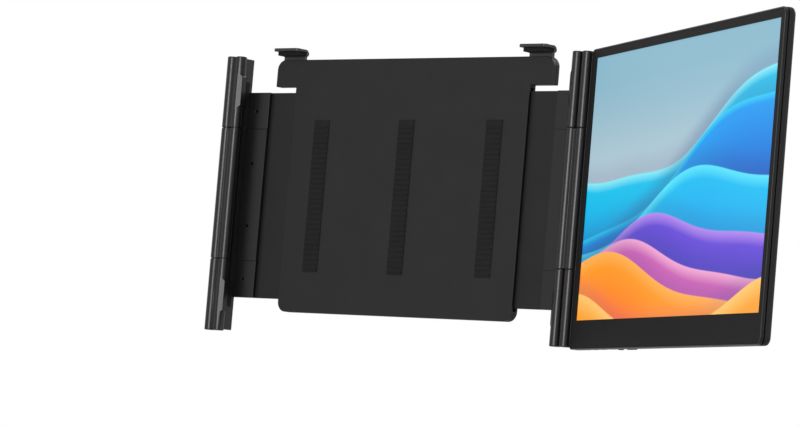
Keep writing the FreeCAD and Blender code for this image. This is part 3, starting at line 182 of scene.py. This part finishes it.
def coating(name, dark, light, rough, grain, relief, metallic=0.0, sheen=SHEEN, stretch=(1, 1, 1)):
    """A coated or moulded surface: two tints, and a fine grain in its gloss and its relief."""
    surface = bpy.data.materials.new(name)
    surface.use_nodes = True
    tree = surface.node_tree
    shader = tree.nodes["Principled BSDF"]
    shader.inputs["Metallic"].default_value = metallic
    shader.inputs["Specular IOR Level"].default_value = sheen
    place = tree.nodes.new("ShaderNodeTexCoord")
    spread = tree.nodes.new("ShaderNodeMapping")
    spread.inputs["Scale"].default_value = stretch
    tree.links.new(place.outputs["Object"], spread.inputs["Vector"])
    fine = tree.nodes.new("ShaderNodeTexNoise")
    fine.inputs["Scale"].default_value = grain
    fine.inputs["Detail"].default_value = GRAIN_DETAIL
    tree.links.new(spread.outputs[0], fine.inputs["Vector"])
    cloud = tree.nodes.new("ShaderNodeTexNoise")
    cloud.inputs["Scale"].default_value = CLOUD_SCALE
    cloud.inputs["Detail"].default_value = CLOUD_DETAIL
    tree.links.new(place.outputs["Object"], cloud.inputs["Vector"])
    tint = tree.nodes.new("ShaderNodeMix")
    tint.data_type = "RGBA"
    tint.inputs["A"].default_value = dark
    tint.inputs["B"].default_value = light
    tree.links.new(cloud.outputs["Fac"], tint.inputs["Factor"])
    tree.links.new(tint.outputs["Result"], shader.inputs["Base Color"])
    gloss = tree.nodes.new("ShaderNodeMapRange")
    gloss.inputs["To Min"].default_value = rough[0]
    gloss.inputs["To Max"].default_value = rough[1]
    tree.links.new(fine.outputs["Fac"], gloss.inputs["Value"])
    tree.links.new(gloss.outputs["Result"], shader.inputs["Roughness"])
    bump = tree.nodes.new("ShaderNodeBump")
    bump.inputs["Strength"].default_value = relief
    bump.inputs["Distance"].default_value = RELIEF_DEPTH
    tree.links.new(fine.outputs["Fac"], bump.inputs["Height"])
    tree.links.new(bump.outputs["Normal"], shader.inputs["Normal"])
    return surface


def settle(piece, node, surface):
    """A finished piece takes a surface, rides where its node does and stands for it."""
    piece.data.materials.clear()
    piece.data.materials.append(surface)
    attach(piece, frame["nodes"][node]["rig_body"])
    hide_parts(node)


def pick(piece):
    """Leaves one piece alone selected and active."""
    bpy.ops.object.select_all(action="DESELECT")
    piece.select_set(True)
    bpy.context.view_layer.objects.active = piece


def joined(parts, name):
    """Joins pieces to the first of them."""
    pick(parts[0])
    for part in parts:
        part.select_set(True)
    bpy.ops.object.join()
    parts[0].name = name
    return parts[0]


def clear_choice(kind):
    """Leaves nothing chosen in the active piece's mesh, and sets what kind is chosen next."""
    bpy.ops.object.mode_set(mode="EDIT")
    bpy.ops.mesh.select_all(action="DESELECT")
    bpy.ops.mesh.select_mode(type=kind)
    bpy.ops.object.mode_set(mode="OBJECT")


def fix_place():
    """Puts the active primitive's place, turn and size in its mesh."""
    bpy.ops.object.transform_apply(location=True, rotation=True, scale=True)
    return bpy.context.object


def copied(node):
    """A CAD piece's own shape as a new piece, with its loose triangles merged to whole faces."""
    piece = bpy.data.objects.new(f"{node}_finished", frame["nodes"][node].data.copy())
    bpy.context.scene.collection.objects.link(piece)
    pick(piece)
    bpy.ops.mesh.customdata_custom_splitnormals_clear()
    bpy.ops.object.mode_set(mode="EDIT")
    bpy.ops.mesh.select_all(action="SELECT")
    bpy.ops.mesh.remove_doubles(threshold=MERGE)
    bpy.ops.mesh.dissolve_limited(angle_limit=FLAT)
    bpy.ops.object.mode_set(mode="OBJECT")
    return piece


def ease(piece, width, steps=EASE_STEPS, sharp_from=SHARP):
    """Rounds a piece's sharp edges a little, apart from steps too fine for it, and shades it."""
    spots = piece.data.vertices
    spans = {}
    for edge in piece.data.edges:
        start, end = edge.vertices
        spans[edge.key] = (spots[start].co - spots[end].co).length
    sides = {}
    for face in piece.data.polygons:
        for pair in face.edge_keys:
            sides.setdefault(pair, []).append(face)
    weights = piece.data.attributes.new("bevel_weight_edge", "FLOAT", "EDGE")
    limit = math.radians(sharp_from)
    for edge in piece.data.edges:
        faces = sides[edge.key]
        breadths = [face.area / max(spans[pair] for pair in face.edge_keys) for face in faces]
        sharp = len(faces) == 2 and faces[0].normal.angle(faces[1].normal) > limit
        weights.data[edge.index].value = float(sharp and min(breadths) > width * FINE_STEP)
    bevel = piece.modifiers.new("eased_edges", "BEVEL")
    bevel.width = width
    bevel.segments = steps
    bevel.limit_method = "WEIGHT"
    bevel.use_clamp_overlap = False
    pick(piece)
    bpy.ops.object.modifier_apply(modifier=bevel.name)
    bpy.ops.object.shade_smooth_by_angle(angle=SMOOTH)
    flats = piece.modifiers.new("true_flats", "WEIGHTED_NORMAL")
    flats.weight = FLATS_FIRST
    flats.keep_sharp = True
    bpy.ops.object.modifier_apply(modifier=flats.name)


def eased(nodes, surface, width):
    """CAD pieces that need no more than eased edges and a surface."""
    for node in nodes:
        piece = copied(node)
        ease(piece, width)
        settle(piece, node, surface)


def soften_end(piece, level, width):
    """Rounds the outline of a piece's flat end at one height."""
    clear_choice("EDGE")
    spots = piece.data.vertices
    slopes = {}
    for face in piece.data.polygons:
        for pair in face.edge_keys:
            slopes.setdefault(pair, []).append(abs(face.normal.z))
    for edge in piece.data.edges:
        on_end = all(abs(spots[n].co.z - level) < NEAR for n in edge.vertices)
        edge.select = on_end and min(slopes[edge.key]) < UPRIGHT
    bpy.ops.object.mode_set(mode="EDIT")
    bpy.ops.mesh.bevel(offset=width, segments=EASE_STEPS, clamp_overlap=False)
    bpy.ops.object.mode_set(mode="OBJECT")


def column_piece(node, outer_round=SEAM_ROUND):
    """A copy with a small round at its seams, and a larger one at the column's own end."""
    piece = copied(node)
    low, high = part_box(node)
    for level, other in ((low.z, high.z), (high.z, low.z)):
        soften_end(piece, level, outer_round if abs(level) > abs(other) else SEAM_ROUND)
    ease(piece, COLUMN_EASE)
    return piece


satin_black = coating(
    "satin_black_casting", dark=grey(0.0030), light=(0.0050, 0.0050, 0.0048, 1), rough=(0.30, 0.37),
    grain=1.0, relief=0.03, sheen=0.34, stretch=(900.0, 900.0, 26.0),
)
eased(["left_column_spine", "right_column_spine"], satin_black, SPINE_EASE)
for side in ("left", "right"):
    for end in ("upper", "lower"):
        node = f"{side}_column_{end}"
        settle(column_piece(node, END_ROUND), node, satin_black)
for node in ("screen_barrel_upper", "screen_barrel_lower", "hinge_link"):
    settle(column_piece(node), node, satin_black)

# the left column's middle: a plain cover on the tie rod, with a low boss round each hole
# that stands on its neighbours and leaves a dark seam
cover = column_piece("left_column_middle")
low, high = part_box("left_column_middle")
seams = (
    (high.z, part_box("left_column_upper")[0].z),
    (low.z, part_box("left_column_lower")[1].z),
)
parts = [cover]
for level, reach in seams:
    for x in (low.x + BARREL_RADIUS, high.x - BARREL_RADIUS):
        bpy.ops.object.select_all(action="DESELECT")
        bpy.ops.mesh.primitive_cylinder_add(
            vertices=BOSS_SIDES, radius=BOSS_RADIUS, depth=abs(reach - level),
            location=(x, (low.y + high.y) / 2, (level + reach) / 2),
        )
        parts.append(fix_place())
        bpy.ops.object.shade_smooth_by_angle(angle=SMOOTH)
settle(joined(parts, cover.name), "left_column_middle", satin_black)


# Pins, sleeves, washers and glides: turned steel pins, blackened and pressed in the link,
# bronze sleeves in the barrels, nylon washers and strips, and a rod through the fixed column.
TURNED = (700, 700, 5000)


def dress(nodes, surface):
    """Gives CAD pieces that keep their shape a surface of their own."""
    for node in nodes:
        for slot in frame["nodes"][node].material_slots:
            slot.material = surface


black_steel = coating(
    "blackened_steel", dark=grey(0.0060), light=(0.0160, 0.0158, 0.0155, 1), rough=(0.24, 0.40),
    grain=1.0, relief=0.12, stretch=TURNED,
)
bright_steel = coating(
    "ground_steel", dark=(0.42, 0.42, 0.43, 1), light=(0.55, 0.55, 0.56, 1), rough=(0.18, 0.34),
    grain=1.0, relief=0.12, metallic=1.0, sheen=0.5, stretch=TURNED,
)
bronze = coating(
    "sintered_bronze", dark=(0.36, 0.20, 0.08, 1), light=(0.50, 0.29, 0.12, 1), rough=(0.35, 0.55),
    grain=3000.0, relief=0.35, metallic=1.0,
)
glide_nylon = coating(
    "black_glide_plastic", dark=grey(0.006), light=grey(0.012), rough=(0.4, 0.5), grain=2600.0, relief=0.1
)
pins = [f"{axis}_pin_{end}" for axis in ("inner", "outer") for end in ("upper", "lower")]
dress(pins + ["left_tie_rod"], black_steel)
dress(["kickstand_pin"], bright_steel)
dress([f"{axis}_sleeve_{end}" for axis in ("inner", "outer") for end in ("upper", "lower")], bronze)
dress(["link_washers", "front_glide_strips", "rear_glide_strips"], glide_nylon)


# Arm plates: steel sheet, laser cut with its slots, tumbled and coated black. Bright posts
# held between the frame's shells run in the slots and guide the plates.
PLATE_EASE = 0.00025

sheet_black = coating(
    "coated_steel_sheet", dark=grey(0.0050), light=grey(0.0090), rough=(0.38, 0.50), grain=2200.0, relief=0.2
)
eased(["left_arm_plate", "right_arm_plate"], sheet_black, PLATE_EASE)
dress(["guide_posts"], bright_steel)


# Screws: blackened steel with a low round head and a cross recess, shaped once for each set.
# Those of the frame and the rear cover sit in their counterbores, and the arms' stand proud.
HEAD_SIDES = 40
HEAD_ROUND = 0.12
HEAD_STEPS = 3
HEAD_SHARP = math.radians(60)
RECESS_WIDE = 0.62
RECESS_THICK = 0.16
RECESS_DEEP = 0.5
# each set: its head's radius and height, the face that it sits on or is sunk in, and its rows
ARM_HEAD = (0.0023, 0.0012)
ARM_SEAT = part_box("right_arm_plate")[1].y
ARM_SCREWS_X = 0.163
ARM_SCREWS_Z = (-0.067, -0.025, 0.025, 0.067)
FRAME_HEAD = (0.0023, 0.0011)
FRAME_BACK = 0.008
FRAME_SUNK = 0.0012
FRAME_SCREWS_X = (-0.104, 0.0, 0.104)
FRAME_SCREWS_Z = (-0.0884, 0.097)
COVER_HEAD = (0.002, 0.0008)
COVER_BACK = 0.00915
COVER_SUNK = 0.001
COVER_SCREWS_ALONG = (0.045, 0.186, 0.347)
COVER_SCREWS_Z = (-0.0815, 0.0925)
NEXT_TURN = 0.9
# the display's own frame: it stands at this turn about the outer barrels' axis
SCREEN_HINGE = Vector((0.185, -0.009, 0.0))
SCREEN_ANGLE = math.radians(30)
SCREEN_TURN = Matrix.Translation(SCREEN_HINGE) @ Matrix.Rotation(-SCREEN_ANGLE, 4, "Z")


def cross_head(radius, height):
    """One screw head at the origin, with its seat at Y = 0 and its cross recess towards +Y."""
    bpy.ops.object.select_all(action="DESELECT")
    bpy.ops.mesh.primitive_cylinder_add(
        vertices=HEAD_SIDES, radius=radius, depth=height,
        location=(0, height / 2, 0), rotation=(math.pi / 2, 0, 0),
    )
    head = fix_place()
    for across, upright in ((RECESS_WIDE, RECESS_THICK), (RECESS_THICK, RECESS_WIDE)):
        bpy.ops.object.select_all(action="DESELECT")
        bpy.ops.mesh.primitive_cube_add(size=1, location=(0, height, 0))
        bpy.context.object.scale = (across * radius * 2, height * RECESS_DEEP * 2, upright * radius * 2)
        cutter = fix_place()
        cut = head.modifiers.new("recess", "BOOLEAN")
        cut.operation = "DIFFERENCE"
        cut.object = cutter
        bpy.context.view_layer.objects.active = head
        bpy.ops.object.modifier_apply(modifier=cut.name)
        bpy.data.objects.remove(cutter)
    rim = head.modifiers.new("round_rim", "BEVEL")
    rim.width = radius * HEAD_ROUND
    rim.segments = HEAD_STEPS
    rim.limit_method = "ANGLE"
    rim.angle_limit = HEAD_SHARP
    pick(head)
    bpy.ops.object.modifier_apply(modifier=rim.name)
    bpy.ops.object.shade_smooth_by_angle(angle=SMOOTH)
    return head


def screw_set(node, size, places, turn=Matrix.Identity(4)):
    """Copies of one head, each turned home to its own angle, joined to one piece for the node."""
    first = cross_head(*size)
    heads = []
    for n, place in enumerate(places):
        head = bpy.data.objects.new(f"{node}_{n}", first.data.copy())
        bpy.context.scene.collection.objects.link(head)
        spin = Matrix.Rotation(n * NEXT_TURN, 4, "Y")
        head.data.transform(turn @ Matrix.Translation(Vector(place)) @ spin)
        heads.append(head)
    bpy.data.objects.remove(first)
    settle(joined(heads, f"{node}_heads"), node, black_steel)


for side, sign in (("right", 1), ("left", -1)):
    screw_set(f"{side}_arm_screws", ARM_HEAD, [(sign * ARM_SCREWS_X, ARM_SEAT, z) for z in ARM_SCREWS_Z])
frame_places = [(x, FRAME_BACK - FRAME_SUNK, z) for x in FRAME_SCREWS_X for z in FRAME_SCREWS_Z]
screw_set("frame_screws", FRAME_HEAD, frame_places)
cover_places = [(along, COVER_BACK - COVER_SUNK, z) for along in COVER_SCREWS_ALONG for z in COVER_SCREWS_Z]
screw_set("rear_cover_screws", COVER_HEAD, cover_places, SCREEN_TURN)
dress(["hinge_tab_screws"], black_steel)


# Centre frame: two moulded shells that meet on the arms' middle plane, finely spark eroded
# outside, with ribbed rubber rest pads glued on the front.
SHELL_EASE = 0.0005
PAD_MIDDLES = (-0.09, 0.0, 0.09)
PAD_WIDE = 0.016
PAD_SHEET = 0.0005
PAD_EASE = 0.00015
PAD_EASE_STEPS = 2
PAD_SHARP = 60
RIB_PITCH = 0.004
RIB_RADIUS = 0.0008
RIB_SUNK = 0.0003
RIB_SHORT = 0.002
RIB_SIDES = 24

shell_black = coating(
    "moulded_frame_plastic", dark=(0.0070, 0.0070, 0.0072, 1), light=(0.0110, 0.0110, 0.0113, 1),
    rough=(0.45, 0.60), grain=1900.0, relief=0.45,
)
rubber = coating(
    "pad_rubber", dark=grey(0.0055), light=grey(0.0105), rough=(0.62, 0.82), grain=1400.0, relief=0.6,
    sheen=0.12,
)
eased(["frame_front_shell", "frame_rear_shell"], shell_black, SHELL_EASE)

low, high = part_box("lid_rest_pads")
strips = []
for middle in PAD_MIDDLES:
    bpy.ops.object.select_all(action="DESELECT")
    bpy.ops.mesh.primitive_cube_add(size=1, location=(middle, high.y - PAD_SHEET / 2, (low.z + high.z) / 2))
    bpy.context.object.scale = (PAD_WIDE, PAD_SHEET, high.z - low.z)
    strips.append(fix_place())
    bpy.ops.mesh.primitive_cylinder_add(
        vertices=RIB_SIDES, radius=RIB_RADIUS, depth=PAD_WIDE - RIB_SHORT, rotation=(0, math.pi / 2, 0),
        location=(middle, high.y - PAD_SHEET + RIB_SUNK, low.z + RIB_PITCH / 2),
    )
    rib = fix_place()
    row = rib.modifiers.new("row", "ARRAY")
    row.use_relative_offset = False
    row.use_constant_offset = True
    row.constant_offset_displace = (0, 0, RIB_PITCH)
    row.count = int((high.z - low.z) / RIB_PITCH)
    bpy.ops.object.modifier_apply(modifier=row.name)
    strips.append(rib)
rest_pads = joined(strips, "ribbed_rest_pads")
ease(rest_pads, PAD_EASE, PAD_EASE_STEPS, PAD_SHARP)
settle(rest_pads, "lid_rest_pads", rubber)
dress(["right_hook_pads", "left_hook_pads", "right_edge_pad", "left_edge_pad"], rubber)


# Top clips: moulded hooks that slide up out of the frame, with a soft rubber block under each.
# Their black is painted a little lighter than the frame's, a painted highlight for the lit front of each
# clip.
CLIP_EASE = 0.0007

# painted highlight: the clip's base colour is lighter than the other blacks to stand in for the light on its
# front face
clip_painted_light_black = coating(
    "clip_plastic_painted_lighter", dark=(0.0260, 0.0260, 0.0255, 1), light=(0.0340, 0.0340, 0.0335, 1), rough=(0.34, 0.44),
    grain=1800.0, relief=0.15, sheen=0.25,
)
eased(["left_top_clip", "right_top_clip"], clip_painted_light_black, CLIP_EASE)
eased(["left_clip_pad", "right_clip_pad"], rubber, PLATE_EASE)


# Kickstand: a steel plate rolled round its pin at the top, with a pressed panel that
# stiffens it and a rubber foot moulded on its lower edge.
PRESSED_IN = 0.009
PRESSED_DEPTH = 0.0005
PRESSED_SLOPE = 0.0008
PANEL_AREA = 0.001
FACING_BACK = 0.99

stand = copied("kickstand")
outer_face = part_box("kickstand_foot")[1].y
clear_choice("FACE")
for face in stand.data.polygons:
    at_back = face.normal.y > FACING_BACK and abs(face.center.y - outer_face) < NEAR
    face.select = at_back and face.area > PANEL_AREA
bpy.ops.object.mode_set(mode="EDIT")
bpy.ops.mesh.inset(thickness=PRESSED_IN, depth=0)
bpy.ops.mesh.inset(thickness=PRESSED_SLOPE, depth=-PRESSED_DEPTH)
bpy.ops.object.mode_set(mode="OBJECT")
ease(stand, PLATE_EASE)
settle(stand, "kickstand", sheet_black)
eased(["kickstand_foot"], rubber, PLATE_EASE)


# Screen rim and bezel: a thin moulded frame with a soft outer edge, and the satin surround
# that is glued flush in it. The lower part of the surround is left bare.
RIM_EASE = 0.0003
BEZEL_EASE = 0.00012

rim_black = coating(
    "screen_rim_plastic", dark=grey(0.0035), light=grey(0.0055), rough=(0.26, 0.34), grain=2400.0, relief=0.1,
    sheen=0.25,
)
bezel_black = coating(
    "satin_bezel", dark=grey(0.0045), light=grey(0.0065), rough=(0.50, 0.60), grain=3200.0, relief=0.2,
    sheen=0.07,
)
eased(["screen_rim"], rim_black, RIM_EASE)
eased(["front_bezel"], bezel_black, BEZEL_EASE)


# Display: a matt panel lit from behind. Its picture is a plain design of soft waves, one
# behind another, on a pale blue sky.
DISPLAY_LEFT = 0.0157
DISPLAY_LOW = -0.0901
DISPLAY_WIDE = 0.3442
DISPLAY_HIGH = 0.1936
SKY_LOW = (0.56, 0.63, 0.68, 1)
SKY_HIGH = (0.22, 0.43, 0.54, 1)
SKY_FROM = 0.2
EDGE_SOFT = 0.006
VEIL = (0.02, 0.05, 0.22, 1)
VEIL_REACH = 0.10
VEIL_SHARE = 0.22
RIPPLE_RATE = 2.3
RIPPLE_SHIFT = 1.7
RIPPLE_SHARE = 0.22
GLOW = 0.84
BASE_SHARE = 0.2
BLACK = (0.0, 0.0, 0.0, 1)
DISPLAY_SHEEN = 0.15
DISPLAY_ROUGH = 0.42
# each wave from the back to the front: height at the left, rise to the right, swing, rate and
# shift, and then its colours from the crest down
WAVES = [
    (
        (0.50, 0.28, 0.080, 5.2, 2.6),
        [(0.0, (0.25, 0.80, 0.88)), (0.04, (0.0, 0.50, 0.78)), (0.45, (0.0, 0.20, 0.70))],
    ),
    (
        (0.36, 0.34, 0.090, 4.6, 3.9),
        [(0.0, (0.02, 0.60, 0.85)), (0.03, (0.0, 0.30, 0.80)), (0.4, (0.0, 0.04, 0.48))],
    ),
    (
        (0.33, 0.14, 0.100, 4.4, 5.0),
        [(0.0, (0.10, 0.75, 0.90)), (0.05, (0.0, 0.47, 0.82)), (0.6, (0.0, 0.15, 0.72))],
    ),
    (
        (0.24, 0.10, 0.085, 4.9, 5.9),
        [(0.0, (0.45, 0.25, 0.80)), (0.05, (0.12, 0.06, 0.62)), (0.4, (0.0, 0.01, 0.38))],
    ),
    (
        (0.21, -0.02, 0.075, 5.0, 6.5),
        [(0.0, (0.85, 0.40, 0.62)), (0.05, (0.60, 0.12, 0.45)), (0.35, (0.35, 0.03, 0.4))],
    ),
    (
        (0.16, -0.05, 0.085, 4.6, 7.2),
        [(0.0, (1.0, 0.42, 0.08)), (0.06, (1.0, 0.30, 0.01)), (0.35, (1.0, 0.10, 0.0))],
    ),
    (
        (0.02, 0.02, 0.075, 5.4, 8.3),
        [(0.0, (1.0, 0.55, 0.15)), (0.08, (1.0, 0.35, 0.03)), (0.4, (1.0, 0.22, 0.01))],
    ),
]

picture = bpy.data.materials.new("lit_display")
picture.use_nodes = True
tree = picture.node_tree
shader = tree.nodes["Principled BSDF"]


def number(operation, first, second=None, third=None):
    """The result of one sum on plain numbers or on other nodes' results."""
    sum_node = tree.nodes.new("ShaderNodeMath")
    sum_node.operation = operation
    for socket, item in zip(sum_node.inputs, (first, second, third)):
        if isinstance(item, (int, float)):
            socket.default_value = item
        elif item is not None:
            tree.links.new(item, socket)
    return sum_node.outputs[0]


def step(item, start, end):
    """A soft step from 0 to 1 between two values."""
    ramp = tree.nodes.new("ShaderNodeMapRange")
    ramp.interpolation_type = "SMOOTHSTEP"
    ramp.inputs["From Min"].default_value = start
    ramp.inputs["From Max"].default_value = end
    tree.links.new(item, ramp.inputs["Value"])
    return ramp.outputs["Result"]


def blended(share, under, over):
    """One colour laid over another."""
    mix = tree.nodes.new("ShaderNodeMix")
    mix.data_type = "RGBA"
    for socket, item in (("Factor", share), ("A", under), ("B", over)):
        if isinstance(item, (tuple, float)):
            mix.inputs[socket].default_value = item
        else:
            tree.links.new(item, mix.inputs[socket])
    return mix.outputs["Result"]


place = tree.nodes.new("ShaderNodeTexCoord")
onto_screen = tree.nodes.new("ShaderNodeMapping")
onto_screen.inputs["Rotation"].default_value = (0, 0, SCREEN_ANGLE)
onto_screen.inputs["Location"].default_value = -(Matrix.Rotation(SCREEN_ANGLE, 3, "Z") @ SCREEN_HINGE)
tree.links.new(place.outputs["Object"], onto_screen.inputs["Vector"])
to_picture = tree.nodes.new("ShaderNodeMapping")
to_picture.inputs["Scale"].default_value = (1 / DISPLAY_WIDE, 1, 1 / DISPLAY_HIGH)
to_picture.inputs["Location"].default_value = (-DISPLAY_LEFT / DISPLAY_WIDE, 0, -DISPLAY_LOW / DISPLAY_HIGH)
tree.links.new(onto_screen.outputs[0], to_picture.inputs["Vector"])
parted = tree.nodes.new("ShaderNodeSeparateXYZ")
tree.links.new(to_picture.outputs[0], parted.inputs[0])
along = parted.outputs["X"]
height = parted.outputs["Z"]

colour = blended(step(height, SKY_FROM, 1.0), SKY_LOW, SKY_HIGH)
for (level, rise, swing, rate, shift), shades in WAVES:
    swell = number("SINE", number("MULTIPLY_ADD", along, rate, shift))
    wave = number("MULTIPLY", swell, swing)
    ripple = number("SINE", number("MULTIPLY_ADD", along, rate * RIPPLE_RATE, shift * RIPPLE_SHIFT))
    slope = number("MULTIPLY_ADD", along, rise, level)
    crest = number("ADD", slope, number("MULTIPLY_ADD", ripple, swing * RIPPLE_SHARE, wave))
    below = number("SUBTRACT", crest, height)
    veil = number("MULTIPLY", step(below, -VEIL_REACH, 0.0), VEIL_SHARE)
    colour = blended(veil, colour, VEIL)
    fold = tree.nodes.new("ShaderNodeValToRGB")
    tree.links.new(below, fold.inputs["Fac"])
    stops = fold.color_ramp.elements
    for n, (position, shade) in enumerate(shades):
        stop = stops[n] if n < 2 else stops.new(position)
        stop.position = position
        stop.color = (*shade, 1)
    colour = blended(step(below, 0.0, EDGE_SOFT), colour, fold.outputs["Color"])
tree.links.new(colour, shader.inputs["Emission Color"])
tree.links.new(blended(BASE_SHARE, BLACK, colour), shader.inputs["Base Color"])
shader.inputs["Emission Strength"].default_value = GLOW
shader.inputs["Specular IOR Level"].default_value = DISPLAY_SHEEN
shader.inputs["Roughness"].default_value = DISPLAY_ROUGH
dress(["display_panel"], picture)


# Behind the display: the light guide, the stamped plate that carries both, the board, its
# tact switches and the panel's flat cable. They show only through the vents and openings.
guide_white = coating(
    "milky_light_guide", dark=(0.80, 0.82, 0.84, 1), light=(0.88, 0.89, 0.90, 1), rough=(0.25, 0.4),
    grain=900.0, relief=0.1,
)
stamped_steel = coating(
    "stamped_steel", dark=(0.45, 0.45, 0.46, 1), light=(0.58, 0.58, 0.59, 1), rough=(0.28, 0.42),
    grain=1500.0, relief=0.3, metallic=1.0, sheen=0.5, stretch=(1, 1, 8),
)
board_mask = coating(
    "green_solder_mask", dark=(0.004, 0.055, 0.020, 1), light=(0.010, 0.090, 0.035, 1), rough=(0.22, 0.34),
    grain=700.0, relief=0.2,
)
dress(["backlight"], guide_white)
dress(["panel_support_plate"], stamped_steel)
dress(["controller_board"], board_mask)
dress(["tact_switches"], black_steel)
dress(["panel_flex_cable"], bronze)


# Rear cover and buttons: a moulded tray with soft outer edges, vents, screw wells and
# openings, finely textured outside, and two keys in its lower edge.
COVER_EASE = 0.0002

cover_black = coating(
    "moulded_cover_plastic", dark=grey(0.0060), light=grey(0.0095), rough=(0.40, 0.52),
    grain=1700.0, relief=0.4,
)
eased(["screen_rear_cover"], cover_black, COVER_EASE)
eased(["power_button", "menu_rocker"], rim_black, COVER_EASE)


# Sockets: pressed and plated steel shells round a contact tongue, soldered on the board and
# open at the screen's lower edge.
plated = coating(
    "plated_socket_steel", dark=grey(0.50), light=(0.62, 0.62, 0.61, 1), rough=(0.2, 0.32),
    grain=2000.0, relief=0.15, metallic=1.0,
)
dress(["usb_port_near", "usb_port_far", "video_port"], plated)
